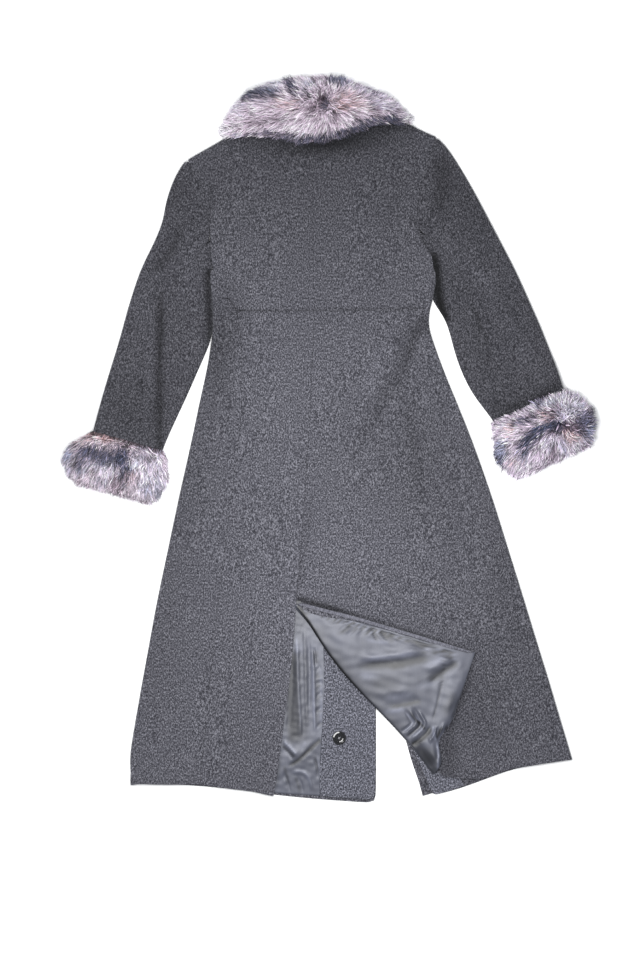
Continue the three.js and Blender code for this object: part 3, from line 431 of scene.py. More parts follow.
def crease_height(spots, creases):
    """Height that a table of creases adds at each spot."""
    height = np.zeros(len(spots))
    for high, left, right, fade_in, fade_out, points in creases:
        aside, along = beside(spots, rounded_path(points))
        wide = np.where(aside > 0, left, right)
        ends = eased(-0.001, fade_in, along) * eased(-0.001, fade_out, 1 - along)
        height += high * ends * np.exp(-((aside / wide) ** 2))
    return height


def ripple(spots, seed, size):
    """Even, aimless waves about this size, from -1 to 1 or so."""
    rng = np.random.default_rng(seed)
    waves = np.zeros(len(spots))
    for _ in range(WAVES):
        turn = rng.uniform(0, 2 * math.pi)
        rate = 2 * math.pi / (size * rng.uniform(0.7, 1.5))
        along = spots[:, 0] * math.cos(turn) + spots[:, 1] * math.sin(turn)
        waves += np.sin(rate * along + rng.uniform(0, 6.28))
    return waves / math.sqrt(WAVES / 2) * 0.5


# %% [markdown]
# The back of the coat carries the creases that we can see. The longest one drapes from the
# right side seam down to the middle of the skirt, where the coat was pulled straight before
# it was laid down. The rest is a shallow trough beside the left waist, a few soft waves
# towards the hem, and the drag lines beneath the collar. Laying out also pulls the cloth a few
# millimetres sideways here and there, which a table of soft pulls says in the same way.

# %% Creases of the back
# height, width to the left, width to the right, fade in, fade out, path
BACK_CREASES = [
    (-2.4, 6, 14, 0.2, 0.5, [(178, 230), (154, 179), (131, 122), (97, 62), (61, -1), (23, -76)]),
    (-1.5, 7, 10, 0.3, 0.4, [(151, 170), (133, 122), (142, 71), (152, 26), (161, -55), (167, -109)]),
    (-1.2, 10, 14, 0.4, 0.4, [(79, 80), (50, 26), (17, -19), (3, -73)]),
    (1.1, 14, 10, 0.3, 0.5, [(151, 219), (122, 158), (84, 93), (39, 26)]),
    (-1.3, 14, 12, 0.2, 0.4, [(194, 197), (203, 122), (223, 35), (242, -55)]),
    (-1.6, 14, 10, 0.3, 0.5, [(-191, 212), (-184, 161), (-191, 93), (-209, 17)]),
    (1.0, 12, 16, 0.4, 0.5, [(-163, 197), (-152, 125), (-163, 17)]),
    (-1.2, 16, 12, 0.4, 0.4, [(-191, -28), (-206, -109), (-217, -217)]),
    (-1.0, 20, 14, 0.4, 0.2, [(-209, -361), (-224, -469), (-238, -595)]),
    (1.0, 16, 16, 0.4, 0.3, [(-184, -379), (-195, -487), (-206, -622)]),
    (-1.0, 18, 14, 0.4, 0.4, [(-119, -217), (-137, -361), (-159, -505)]),
    (0.8, 18, 14, 0.5, 0.5, [(-87, -55), (-101, -181), (-119, -325)]),
    (-1.0, 18, 14, 0.4, 0.4, [(100, -145), (136, -253), (165, -325)]),
    (0.9, 16, 16, 0.4, 0.4, [(43, -109), (64, -217), (93, -310)]),
    (-1.1, 20, 14, 0.4, 0.3, [(255, -217), (298, -361), (345, -505)]),
    (0.9, 18, 18, 0.4, 0.2, [(309, -289), (345, -397), (390, -550)]),
    (-0.8, 14, 14, 0.3, 0.5, [(-51, 521), (-58, 449), (-44, 377)]),
    (-0.9, 16, 12, 0.3, 0.5, [(-191, 467), (-188, 413), (-173, 341)]),
    (-0.9, 16, 12, 0.4, 0.5, [(136, 489), (129, 431), (115, 359)]),
    (-0.7, 12, 12, 0.4, 0.4, [(43, 215), (35, 161), (43, 107)]),
    (-0.6, 12, 12, 0.4, 0.4, [(-105, 219), (-101, 172), (-112, 122)]),
    (-0.8, 22, 22, 0.3, 0.3, [(-141, 539), (-87, 503), (3, 492), (79, 528)]),
]


# x and y of the pull, x, y, half width, half length, degrees
BODY_PULLS = [
    (8.0, 0.0, 177, 240, 24, 30, 0),
    (1.8, 0.0, 163, 379, 12, 16, 0),
    (11.0, 0.0, 156, -631, 42, 90, 0),
    (0.0, -5.5, 273, -610, 100, 50, 0),
    (-4.0, -4.0, -359, -618, 12, 12, 0),
    (-3.0, 4.0, 84, -652, 8, 8, 0),
    (4.0, 0.0, 160, -622, 20, 34, 0),
    (6.0, 5.0, 169, -643, 11, 11, 0),
]


UPPER_LAYER = (3.6, 6.0)                     # where the upper layer begins, in mm above the table
SWELL_SIZE = 120


def in_oval(spots, x, y, half_width, half_length, degrees):
    """Each spot's place across and along a turned oval, where 1 is the oval's edge."""
    turn = math.radians(degrees)
    away = spots - np.array([x, y])
    across = (away[:, 0] * math.cos(turn) + away[:, 1] * math.sin(turn)) / half_width
    along = (away[:, 1] * math.cos(turn) - away[:, 0] * math.sin(turn)) / half_length
    return across, along


def soft_oval(spots, *oval):
    """1 in the middle of an oval, fading out towards its edge and beyond."""
    across, along = in_oval(spots, *oval)
    return np.exp(-(across * across + along * along))


def pulled(piece, pulls):
    """Shifts the cloth of a piece sideways, softly, by a table of pulls."""
    corners = corners_of(piece)
    spots = corners[:, :2].copy()
    for dx, dy, *oval in pulls:
        corners[:, :2] += soft_oval(spots, *oval)[:, None] * np.array([dx, dy])
    put_corners(piece, corners)


def settle(piece, creases, swell=0.35, seed=3):
    """Lets the upper layer of a piece sink and rise along the creases that cross it."""
    corners = corners_of(piece)
    spots = corners[:, :2]
    drop = crease_height(spots, creases) + swell * ripple(spots, seed, SWELL_SIZE)
    corners[:, 2] += eased(*UPPER_LAYER, corners[:, 2]) * drop
    put_corners(piece, corners)


# %% [markdown]
# A fold is more than its height, so light and shade are painted into the colour as well.
# Every point of a piece carries a number, its tone with painted light and shade, which the
# finish multiplies its colour by. It holds painted shade in the hollows of the folds, painted
# shadow under the collar, at the underarms and along the turned corner, darker painted shade
# over the sleeves, the upper back and the sides, and painted light where the cloth lies open
# in the middle. Strokes are written like the creases, with a strength in place of a height,
# and washes are soft ovals. Both add up as powers of e, so 0 leaves the cloth as it is.

# %% Tone, with painted light and shade
DARKEST, PALEST = 0.05, 1.8


def washed(spots, washes):
    """Sum of soft ovals: strength, x, y, half width, half length, turn in degrees."""
    total = np.zeros(len(spots))
    for strength, *oval in washes:
        total += strength * soft_oval(spots, *oval)
    return total


def carry(piece, name, values):
    """Stores one number for each point of a piece."""
    piece.data.attributes.new(name, "FLOAT", "POINT").data.foreach_set("value", values)


# Stores each point's tone: the piece's base, plus its strokes and washes of painted light and shade.
def carry_painted_light_and_tone(piece, strokes, washes, base):
    spots = corners_of(piece)[:, :2]
    tone = np.exp(base + crease_height(spots, strokes) + washed(spots, washes))
    carry(piece, "tone", np.clip(tone, DARKEST, PALEST))


# Washes of painted light and shade on the back: painted shadow under the collar, darker painted
# shade over the upper back and the sides, and painted light over the middle.
# strength, x, y, half width, half length, degrees
BACK_LIGHT_AND_SHADE_WASHES = [
    (0.10, -78, 17, 95, 210, 0),
    (0.16, -78, -334, 90, 150, 0),
    (0.14, 66, -217, 110, 100, 0),
    (-0.42, -29, 560, 300, 215, 0),
    (-1.15, -6, 530, 84, 17, 4),
    (-0.75, 100, 566, 80, 18, 10),
    (-0.40, -119, 545, 70, 16, 0),
    (-0.20, -220, 446, 50, 62, 0),
    (-0.12, 129, 449, 55, 90, 0),
    (-0.50, -197, 170, 34, 90, -6),
    (-0.18, -249, -37, 45, 150, -10),
    (-0.14, -303, -325, 50, 180, -8),
    (-0.22, 336, -289, 70, 230, 16),
    (-0.26, 255, -469, 60, 90, 10),
    (-0.20, 201, -604, 60, 30, 0),
    (-0.16, 165, -55, 60, 120, 14),
    (0.04, 39, 161, 80, 70, 0),
    (0.08, 255, -217, 50, 90, 14),
]
# Strokes of painted shade along the drape from the right waist and painted light on its ridge,
# painted shadow along the top edge of the turned corner and round it, and thin dark lines on the
# waist and armhole seams.
# strength, width to the left, width to the right, fade in, fade out, path
BACK_LIGHT_SHADE_AND_SEAM_STROKES = [
    (-0.44, 9, 16, 0.15, 0.5, [(178, 230), (151, 170), (133, 122), (122, 71)]),
    (-0.23, 10, 18, 0.25, 0.6, [(136, 134), (93, 53), (57, -10), (30, -82)]),
    (-0.18, 12, 12, 0.3, 0.5, [(138, 107), (147, 35), (161, -55), (172, -145)]),
    (0.12, 14, 12, 0.3, 0.5, [(120, 197), (79, 122), (39, 35)]),
    (-0.34, 5, 5, 0.2, 0.2, [(172, 233), (174, 212), (178, 190)]),
    (-0.20, 4, 8, 0.4, 0.1, [(-29, -73), (-33, -145), (-46, -226), (-56, -282)]),
    (-1.40, 6, 4, 0.02, 0.6, [(-56, -287), (-30, -295), (2, -304), (56, -318)]),
    (-0.80, 3, 3, 0.1, 0.1, [(-16, -297), (56, -317), (164, -351), (261, -384)]),
    (-0.40, 9, 12, 0.2, 0.2, [(262, -400), (228, -490), (212, -550), (196, -595)]),
    (-0.30, 14, 12, 0.3, 0.3, [(228, -532), (219, -577), (208, -616)]),
    (-0.44, 2.2, 2.2, 0.1, 0.04,
     [(-188, 218), (-168, 233), (-110, 233), (0, 234), (90, 235), (180, 236)]),
    (-0.35, 2.2, 2.2, 0.1, 0.05, [(-214, 470), (-213, 400), (-212, 312)]),
    (-0.40, 2.2, 2.2, 0.1, 0.05, [(150, 408), (158, 380), (172, 350), (184, 334)]),
]


# %% [markdown]
# A cut and pressed edge isn't sharp. A narrow bevel round the rim lets two pieces meet in a
# shallow groove, which is what a seam looks like from a distance. Each point also carries its
# distance to that rim, which the wool's finish darkens, because a groove keeps its shadow. The
# waist and centre back seams show a little, and the pressed side seams hardly at all.

# %% Finishing a cloth piece
RIM_REACH = 10.0
RIM_ANGLE = math.radians(55)
SMOOTH_ANGLE = math.radians(48)


def rim_tree(piece):
    """The points on a piece's sharp rim, ready to be searched."""
    pick(piece)
    bpy.ops.object.mode_set(mode="EDIT")
    bpy.ops.mesh.select_mode(type="EDGE")
    bpy.ops.mesh.select_all(action="DESELECT")
    bpy.ops.mesh.edges_select_sharp(sharpness=RIM_ANGLE)
    bpy.ops.object.mode_set(mode="OBJECT")
    chosen = np.empty(len(piece.data.vertices), bool)
    piece.data.vertices.foreach_get("select", chosen)
    points = corners_of(piece)[chosen]
    tree = KDTree(len(points))
    for k, point in enumerate(points):
        tree.insert(point, k)
    tree.balance()
    return tree


def finish_cloth(
    piece, node, material, edge=0.7, seam=1.0, strokes=(), washes=(), base=0.0
):
    """Rounds and smooths the piece, stores rim and tone with painted light and shade, adds it to the
    coat.
    """
    tree = rim_tree(piece)
    rim = piece.modifiers.new("pressed rim", "BEVEL")
    rim.width = edge * MM
    rim.segments = 2
    rim.limit_method = "ANGLE"
    rim.angle_limit = RIM_ANGLE
    pick(piece)
    bpy.ops.object.modifier_apply(modifier=rim.name)
    bpy.ops.object.shade_smooth_by_angle(angle=SMOOTH_ANGLE)
    away = np.array([tree.find(corner)[2] for corner in corners_of(piece)])
    carry(piece, "rim", 1 - seam * (1 - np.clip(away / RIM_REACH, 0, 1)))
    carry_painted_light_and_tone(piece, strokes, washes, base)
    piece.data.materials.append(material)
    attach(piece, "root")
    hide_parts(node)
    return piece


def half_surface(piece):
    """Area of one face of a thin wall, in square metres."""
    return sum(face.area for face in piece.data.polygons) / 2


def show_size(piece):
    faces = sum(len(face.vertices) - 2 for face in piece.data.polygons)
    sides = [round(side, 3) for side in piece.dimensions]
    print(f"{piece.name}: {faces} triangles, box {sides} m, cloth {half_surface(piece):.4f} m2")


# %% [markdown]
# The back is cut in four: two halves of the bodice above the waist seam and two halves of the
# skirt below it. The centre back seam joins them down to the top of the vent, where the left
# half of the skirt lies over the right one.

# %% The back
BACK_TONE = -0.08
BACK = ["back_bodice_left", "back_bodice_right", "back_skirt_left", "back_skirt_right"]
for node in BACK:
    piece = refined(node, f"wool_{node}", 3)
    pulled(piece, BODY_PULLS)
    settle(piece, BACK_CREASES)
    finish_cloth(
        piece, node, wool_cloth,
        edge=0.4, seam=0.75, strokes=BACK_LIGHT_SHADE_AND_SEAM_STROKES, washes=BACK_LIGHT_AND_SHADE_WASHES, base=BACK_TONE,
    )
    show_size(piece)

# %% [markdown]
# The fronts lie beneath. They show at the side seams, where they wrap round from below, and
# at the bottom through the open vent. Only the part that wraps round reaches the upper
# layer, so the same creases run on over the seam without a step.

# %% The fronts
FRONTS = ["front_bodice_left", "front_bodice_right", "front_skirt_left", "front_skirt_right"]
for node in FRONTS:
    piece = refined(node, f"wool_{node}", 2)
    pulled(piece, BODY_PULLS)
    settle(piece, BACK_CREASES)
    finish_cloth(
        piece, node, wool_cloth,
        edge=0.25, seam=0.0, strokes=BACK_LIGHT_SHADE_AND_SEAM_STROKES, washes=BACK_LIGHT_AND_SHADE_WASHES, base=BACK_TONE,
    )
    show_size(piece)

# %% [markdown]
# A facing is the strip of wool that lines the front's edge. Two of them show through the open
# vent. They lie flat, and their nap is a little lighter than the back's, because it was never
# worn. So they get their own wool and no creases.

# %% The facings
for node in ["facing_left", "facing_right"]:
    piece = refined(node, f"wool_{node}", 3)
    pulled(piece, BODY_PULLS)
    finish_cloth(piece, node, wool_facing, edge=0.4, seam=0.6)
    show_size(piece)

# %% [markdown]
# Sleeves crumple more than the body, because the arm's shape is built into them. The left
# one has a long tuck from the elbow to the cuff, where the cloth stands up on one side and
# falls away on the other, with painted shade along its foot. The right one is smoother, with a
# soft diagonal roll below the shoulder and a hollow on its outer side, darkened with painted
# shade. Both sleeves are painted a shade darker overall, and the underarms carry painted shadow.

# %% The sleeves
TUCK_REACH = 9.0                             # how much of the inner edge moves
TUCK_STEP = 6                                # the edge is found in steps of this length
TUCK_FLOOR = 0.4


def tuck_under(piece, shift, sink, middle, half_length):
    """Slides the inner edge of an under sleeve towards the body and a little down."""
    corners = corners_of(piece)
    inner = np.sign(shift) * corners[:, 0]
    level = np.round(corners[:, 1] / TUCK_STEP).astype(int)
    edge = {k: inner[level == k].max() for k in np.unique(level)}
    near = eased(-TUCK_REACH, 0, inner - np.array([edge[k] for k in level]))
    share = near * np.exp(-(((corners[:, 1] - middle) / half_length) ** 4))
    lowest = np.minimum(corners[:, 2], TUCK_FLOOR)
    corners[:, 0] += shift * share
    corners[:, 2] = np.maximum(corners[:, 2] + sink * share, lowest)
    put_corners(piece, corners)


LEFT_SLEEVE_CREASES = [
    (-4.2, 3, 15, 0.15, 0.04,
     [(-298, 309), (-301, 251), (-302, 179), (-302, 89), (-301, 17), (-299, -40)]),
    (2.0, 12, 5, 0.2, 0.05, [(-310, 269), (-311, 179), (-311, 71), (-308, -28)]),
    (-3.4, 10, 8, 0.3, 0.3, [(-267, 399), (-281, 363), (-303, 327), (-328, 294)]),
    (2.2, 12, 12, 0.3, 0.3, [(-253, 366), (-271, 330), (-296, 294), (-317, 258)]),
    (-2.2, 10, 10, 0.3, 0.4, [(-274, 467), (-281, 422), (-271, 381)]),
    (-2.0, 9, 9, 0.4, 0.4, [(-235, 251), (-249, 197), (-260, 134)]),
    (1.6, 12, 12, 0.4, 0.4, [(-274, 251), (-278, 161), (-281, 53)]),
    (-1.6, 10, 10, 0.4, 0.4, [(-343, 251), (-357, 161), (-379, 71)]),
    (1.4, 12, 10, 0.4, 0.4, [(-328, 215), (-339, 125), (-353, 26)]),
    (-1.2, 8, 8, 0.4, 0.3, [(-361, 98), (-379, 35), (-397, -1)]),
]
RIGHT_SLEEVE_CREASES = [
    (-3.2, 14, 12, 0.3, 0.4, [(214, 525), (230, 482), (248, 438), (273, 392)]),
    (2.4, 14, 14, 0.3, 0.4, [(179, 392), (219, 366), (262, 338), (302, 309)]),
    (-2.0, 12, 12, 0.3, 0.4, [(194, 438), (215, 410), (255, 384)]),
    (-2.0, 10, 12, 0.3, 0.4, [(212, 320), (241, 269), (262, 204)]),
    (1.5, 14, 14, 0.4, 0.4, [(295, 287), (320, 230), (345, 165)]),
    (-1.6, 12, 12, 0.4, 0.4, [(316, 269), (345, 197), (374, 122)]),
    (-1.6, 12, 10, 0.4, 0.4, [(269, 179), (295, 122), (320, 62)]),
    (1.2, 12, 12, 0.4, 0.4, [(338, 143), (359, 98), (374, 62)]),
]
# Painted shade makes both sleeves darker all over.
SLEEVE_PAINTED_SHADE = -0.56
# Strokes and washes of painted shade along the tuck and in the elbow crease, painted shadow in the
# cleft at the underarm, painted light beside the tuck, and a thin dark line on the armhole seam.
LEFT_SLEEVE_LIGHT_AND_SHADE_STROKES = [
    (-0.75, 4, 9, 0.15, 0.02, [(-300, 278), (-301, 215), (-301, 107), (-302, 17), (-303, -30)]),
    (0.10, 8, 8, 0.2, 0.1, [(-317, 269), (-321, 161), (-328, 17)]),
    (-1.10, 5, 7, 0.12, 0.12, [(-215, 316), (-216, 269), (-214, 224), (-211, 168)]),
    (-0.45, 9, 9, 0.3, 0.3, [(-263, 404), (-271, 368), (-281, 341), (-303, 314), (-328, 294)]),
    (-0.35, 2.2, 2.2, 0.1, 0.05, [(-214, 470), (-213, 400), (-212, 312)]),
]
LEFT_SLEEVE_LIGHT_AND_SHADE_WASHES = [
    (-0.20, -274, 449, 26, 50, 10),
    (-0.22, -357, 62, 60, 50, 0),
    (0.16, -249, 305, 20, 60, 0),
    (0.10, -348, 251, 20, 60, 15),
]
# Strokes and washes of painted shade below the shoulder and on the outer side, painted shadow in the
# underarm wedge and along the top of the cuff, and painted light on the diagonal roll.
RIGHT_SLEEVE_LIGHT_AND_SHADE_STROKES = [
    (-0.45, 16, 14, 0.2, 0.4, [(201, 521), (205, 467), (201, 422), (190, 381)]),
    (0.18, 12, 14, 0.2, 0.3, [(183, 363), (228, 332), (273, 296), (318, 233)]),
    (-0.60, 4, 6, 0.2, 0.1, [(163, 374), (172, 348), (185, 332)]),
    (-2.40, 8, 6, 0.12, 0.1,
     [(185, 342), (190, 324), (194, 300), (196, 270), (199, 250), (205, 228), (214, 206)]),
    (-0.14, 10, 10, 0.3, 0.3, [(255, 251), (277, 179), (295, 98)]),
    (-0.60, 9, 7, 0.1, 0.1, [(293, 42), (350, 62), (424, 97)]),
    (0.12, 12, 10, 0.3, 0.2, [(309, 251), (345, 170), (377, 98)]),
]
RIGHT_SLEEVE_LIGHT_AND_SHADE_WASHES = [
    (-0.14, 345, 71, 70, 24, 25),
    (-0.10, 255, 413, 30, 60, 30),
]
SLEEVES = {
    "left": (LEFT_SLEEVE_CREASES, LEFT_SLEEVE_LIGHT_AND_SHADE_STROKES, LEFT_SLEEVE_LIGHT_AND_SHADE_WASHES),
    "right": (RIGHT_SLEEVE_CREASES, RIGHT_SLEEVE_LIGHT_AND_SHADE_STROKES, RIGHT_SLEEVE_LIGHT_AND_SHADE_WASHES),
}
# The under sleeves tuck in below the body: shift in x and z, from the middle y, half length
UNDERARM_TUCK = {"left": (3.2, -1.3, 262, 98), "right": (-8.5, -1.8, 285, 58)}
for side, (creases, strokes, washes) in SLEEVES.items():
    for part in ["top", "under"]:
        node = f"sleeve_{side}_{part}"
        piece = refined(node, f"wool_{node}", 3 if part == "top" else 2)
        settle(piece, creases, swell=0.5, seed=8)
        if part == "under":
            tuck_under(piece, *UNDERARM_TUCK[side])
        finish_cloth(
            piece, node, wool_cloth,
            edge=0.4, seam=0.2, strokes=strokes, washes=washes, base=SLEEVE_PAINTED_SHADE,
        )
        show_size(piece)

# %% [markdown]
# The corner of the right back is turned over along a slanting fold, and the satin side faces us.
# The wool roll of that fold shades the satin beside it, and that thin dark line is painted shade
# on the satin. Its hem is stitched, so the top edge stays nearly straight, and the cloth next to
# it is drawn up a few millimetres.

# %% Turned-over corner, wool side
EDGE_START = np.array([-55.6, -285.5])       # left end of the corner's top edge
EDGE_RUN = np.array([0.958, -0.288])
EDGE_DOWN = np.array([-0.288, -0.958])


def along_and_below(corners):
    """How far each point lies along the corner's top edge, and how far below it."""
    away = corners[:, :2] - EDGE_START
    return away @ EDGE_RUN, away @ EDGE_DOWN


HELD_DEEP = 7                                # the hem holds the cloth down to here
HELD_FADE = 38
FROM_TIP = (25, 130)                         # near the corner's tip it is drawn up less


def draw_up(piece, most, least):
    """Draws the cloth up to the hem along the top edge, and leaves the rest where it lies."""
    corners = corners_of(piece)
    along, below = along_and_below(corners)
    held = np.exp(-((np.maximum(below - HELD_DEEP, 0) / HELD_FADE) ** 2))
    share = held * (0.3 + 0.7 * eased(*FROM_TIP, along))
    higher = np.maximum(below - most * share, np.minimum(below, least))
    corners[:, :2] += (higher - below)[:, None] * EDGE_DOWN
    put_corners(piece, corners)


CORNER_PULLS = [
    (-11.4, -9.2, 30, -400, 45, 130, 38),
    (7.0, -12.0, 186, -590, 26, 34, 0),
    (-12.0, 0.0, 212, -540, 22, 24, 0),
    (-11.0, 6.5, -48, -302, 20, 20, 0),
]
corner = refined("vent_flap", "wool_vent_flap", 2)
draw_up(corner, 6.3, 0.3)
pulled(corner, CORNER_PULLS)
finish_cloth(corner, "vent_flap", wool_cloth)
show_size(corner)

# %% [markdown]
# Satin is thin and slippery, and it is sewn to the wool with a little to spare, so it gathers
# along the hem strip, sags into long troughs, and crumples where the corner hangs over its
# own edge. Every one of these is a crease with a sharp side and a soft side.

# %% Turned-over corner, satin side
CORNER_CREASES = [
    # long troughs
    (-3.6, 9, 5, 0.3, 0.15, [(43, -411), (71, -409), (111, -406), (147, -400), (183, -391)]),
    (2.0, 7, 7, 0.3, 0.2, [(43, -393), (89, -391), (129, -386), (172, -375)]),
    (-3.4, 7, 4, 0.3, 0.2, [(178, -438), (201, -424), (219, -409), (237, -397)]),
    (1.8, 5, 5, 0.3, 0.3, [(172, -418), (201, -404), (226, -388)]),
    (-2.6, 6, 4, 0.3, 0.2, [(102, -480), (122, -476), (143, -472), (167, -467)]),
    (1.6, 6, 5, 0.3, 0.3, [(79, -458), (115, -454), (154, -447)]),
    # gathers along the hem strip
    (-1.8, 2.6, 1.6, 0.1, 0.5, [(34, -330), (26, -339), (16, -348)]),
    (-1.8, 2.6, 1.6, 0.1, 0.5, [(50, -336), (43, -345), (30, -354)]),
    (-2.4, 2.2, 1.6, 0.1, 0.5, [(80, -339), (83, -350), (88, -364)]),
    (-2.2, 2.2, 1.6, 0.1, 0.5, [(97, -346), (100, -355), (107, -364)]),
    (-1.8, 2.2, 1.6, 0.1, 0.5, [(115, -350), (120, -357), (127, -363)]),
    (-2.2, 2.4, 1.6, 0.1, 0.5, [(143, -355), (151, -366), (161, -375)]),
    (-2.4, 2.2, 1.6, 0.1, 0.5, [(172, -363), (176, -373), (178, -386)]),
    (-1.6, 2.2, 1.6, 0.1, 0.5, [(190, -366), (196, -373), (203, -379)]),
    (-1.4, 2.2, 1.8, 0.1, 0.5, [(14, -319), (8, -327), (-1, -334)]),
    (-1.4, 2.2, 1.6, 0.1, 0.5, [(64, -339), (61, -346), (53, -355)]),
    (-1.4, 2.2, 1.6, 0.1, 0.5, [(129, -355), (134, -363), (143, -370)]),
    # the stitched crease
    (-1.0, 1.8, 1.8, 0.1, 0.1, [(205, -375), (208, -417), (201, -451), (194, -483), (187, -507)]),
    # chevron wrinkles
    (-2.6, 2.4, 1.8, 0.2, 0.2, [(138, -485), (145, -501), (152, -510), (142, -519), (129, -526)]),
    (1.8, 2.2, 2.2, 0.2, 0.2, [(145, -480), (152, -498), (161, -508), (149, -519), (134, -532)]),
    (-2.6, 2.4, 1.8, 0.2, 0.2, [(152, -480), (160, -496), (169, -510), (156, -523), (140, -537)]),
    (1.8, 2.2, 2.2, 0.2, 0.2, [(161, -483), (169, -499), (176, -512), (161, -528), (145, -544)]),
    # the deep wedge and its crumple
    (-4.2, 3.2, 2.4, 0.2, 0.2, [(185, -514), (176, -528), (161, -541), (149, -550)]),
    (2.4, 2.6, 2.6, 0.2, 0.2, [(194, -516), (190, -532), (179, -544)]),
    (-2.8, 2.0, 2.0, 0.2, 0.2, [(196, -517), (196, -530), (199, -543)]),
    (-2.2, 2.2, 2.0, 0.2, 0.2, [(217, -508), (210, -523), (203, -537)]),
    (1.4, 2.6, 2.6, 0.2, 0.3, [(208, -508), (203, -523), (197, -541)]),
    # the folded-under triangle below
    (-2.4, 8, 8, 0.2, 0.2, [(158, -555), (176, -570), (190, -591)]),
    (1.6, 3, 3, 0.2, 0.2, [(197, -548), (201, -566), (196, -588)]),
    (-1.2, 4, 4, 0.3, 0.3, [(217, -490), (228, -480), (241, -465)]),
]
# Strokes of painted shade in the troughs, the gathers, the chevrons and the wedge, painted
# highlights on the ridges between them, and a thin painted shadow along the fold edge.
CORNER_LIGHT_AND_SHADE_STROKES = [
    (-1.3, 3, 3, 0.02, 0.05,
     [(-57, -296), (-32, -333), (-10, -373), (31, -425), (86, -488), (146, -550)]),
    (-0.30, 16, 5, 0.1, 0.1, [(-40, -329), (-10, -375), (31, -428), (86, -491), (136, -541)]),
    (-0.85, 8, 6, 0.3, 0.1, [(42, -413), (70, -407), (119, -405), (152, -400), (183, -392)]),
    (-0.55, 5, 5, 0.3, 0.3, [(106, -410), (125, -408), (141, -404)]),
    (0.34, 5, 5, 0.3, 0.2, [(48, -402), (75, -394), (125, -391), (166, -380)]),
    (0.22, 7, 7, 0.3, 0.3, [(53, -425), (75, -425), (97, -429)]),
    (-0.25, 14, 14, 0.3, 0.3, [(70, -436), (103, -439), (133, -447)]),
    (-0.80, 6, 5, 0.25, 0.15, [(176, -437), (194, -426), (210, -414), (235, -400)]),
    (0.26, 6, 8, 0.3, 0.3, [(169, -414), (188, -400), (216, -389)]),
    (0.20, 7, 7, 0.3, 0.3, [(152, -450), (174, -442), (202, -433)]),
    (-0.80, 4, 3.5, 0.25, 0.15, [(104, -481), (133, -478), (169, -470)]),
    (0.30, 4, 4, 0.3, 0.2, [(95, -491), (119, -488), (141, -483)]),
    (0.18, 6, 6, 0.3, 0.3, [(97, -464), (125, -461), (158, -458)]),
    (-0.50, 3.5, 3.5, 0.1, 0.5, [(42, -333), (31, -343), (12, -351)]),
    (-0.40, 3, 3, 0.1, 0.5, [(53, -337), (39, -349)]),
    (-0.55, 2.5, 2.5, 0.1, 0.4, [(80, -335), (83, -351), (89, -366)]),
    (-0.55, 3, 3, 0.1, 0.5, [(95, -343), (101, -353), (107, -363)]),
    (-0.45, 2.4, 2.4, 0.1, 0.5, [(111, -346), (119, -359)]),
    (-0.40, 2.2, 2.2, 0.1, 0.5, [(141, -351), (148, -360)]),
    (-0.65, 2.6, 2.6, 0.1, 0.4, [(155, -357), (161, -367), (163, -377)]),
    (-0.50, 2.4, 2.4, 0.1, 0.4, [(173, -360), (176, -373)]),
    (-0.35, 2, 2, 0.1, 0.5, [(186, -366), (191, -373)]),
    (0.25, 4, 4, 0.3, 0.3, [(59, -353), (75, -362), (119, -367)]),
    (-0.30, 1.8, 1.8, 0.1, 0.1, [(205, -375), (208, -414), (201, -453), (193, -486), (186, -508)]),
    (-0.35, 4, 2, 0.1, 0.1, [(263, -392), (243, -447), (219, -505)]),
    (-0.22, 9, 9, 0.3, 0.3, [(230, -450), (216, -480), (205, -502)]),
    (0.40, 2, 2, 0.2, 0.2, [(137, -487), (146, -499), (155, -508), (143, -519), (130, -527)]),
    (-0.60, 2.2, 2.2, 0.2, 0.2, [(146, -486), (155, -502), (166, -512), (152, -526), (137, -535)]),
    (0.40, 2, 2, 0.2, 0.2, [(152, -491), (163, -505), (174, -516), (158, -530), (144, -537)]),
    (-0.80, 2.2, 2.2, 0.2, 0.2, [(159, -505), (170, -513), (173, -523)]),
    (-1.3, 4.5, 3, 0.2, 0.1, [(183, -515), (179, -527), (169, -537), (148, -550)]),
    (0.40, 2.4, 2.4, 0.2, 0.2, [(189, -513), (188, -527), (194, -542)]),
    (-0.80, 3, 2.4, 0.2, 0.2, [(205, -516), (198, -527), (194, -539)]),
    (-0.60, 3, 2.4, 0.2, 0.2, [(214, -512), (209, -527), (202, -538)]),
    (0.35, 2.2, 2.2, 0.2, 0.2, [(210, -519), (203, -532), (197, -542)]),
    (0.50, 2, 2, 0.1, 0.1, [(195, -542), (198, -568), (196, -593)]),
]
# Washes of painted shadow at the top of the vent and at the corner's tip, and of painted light on
# the folds between.
CORNER_LIGHT_AND_SHADE_WASHES = [
    (-1.7, -53, -284, 7, 8, 0),
    (-1.0, 181, -579, 16, 15, 20),
    (-1.1, 168, -562, 22, 11, -42),
    (0.20, 216, -420, 18, 30, 20),
    (-0.9, 188, -597, 9, 10, 0),
    (0.25, 180, -548, 12, 6, 20),
    (-0.18, 86, -447, 30, 22, 0),
    (0.10, 15, -362, 20, 14, -30),
    (0.12, 232, -436, 14, 34, 20),
]
CORNER_TONE = -0.02
CORNER_CONTRAST = 1.9
DEEPEST = 1.2
SATIN_TOP = (6.5, 9.5)                       # heights between which the creases fade in
PLEAT_STEP = 9.5
PLEATED = (20, 300)                          # from the first pleat to the last, along the edge
STRIP_WIDTH = 11


def stronger(strokes, times):
    """The same strokes with every strength multiplied."""
    return [(times * strength, *rest) for strength, *rest in strokes]


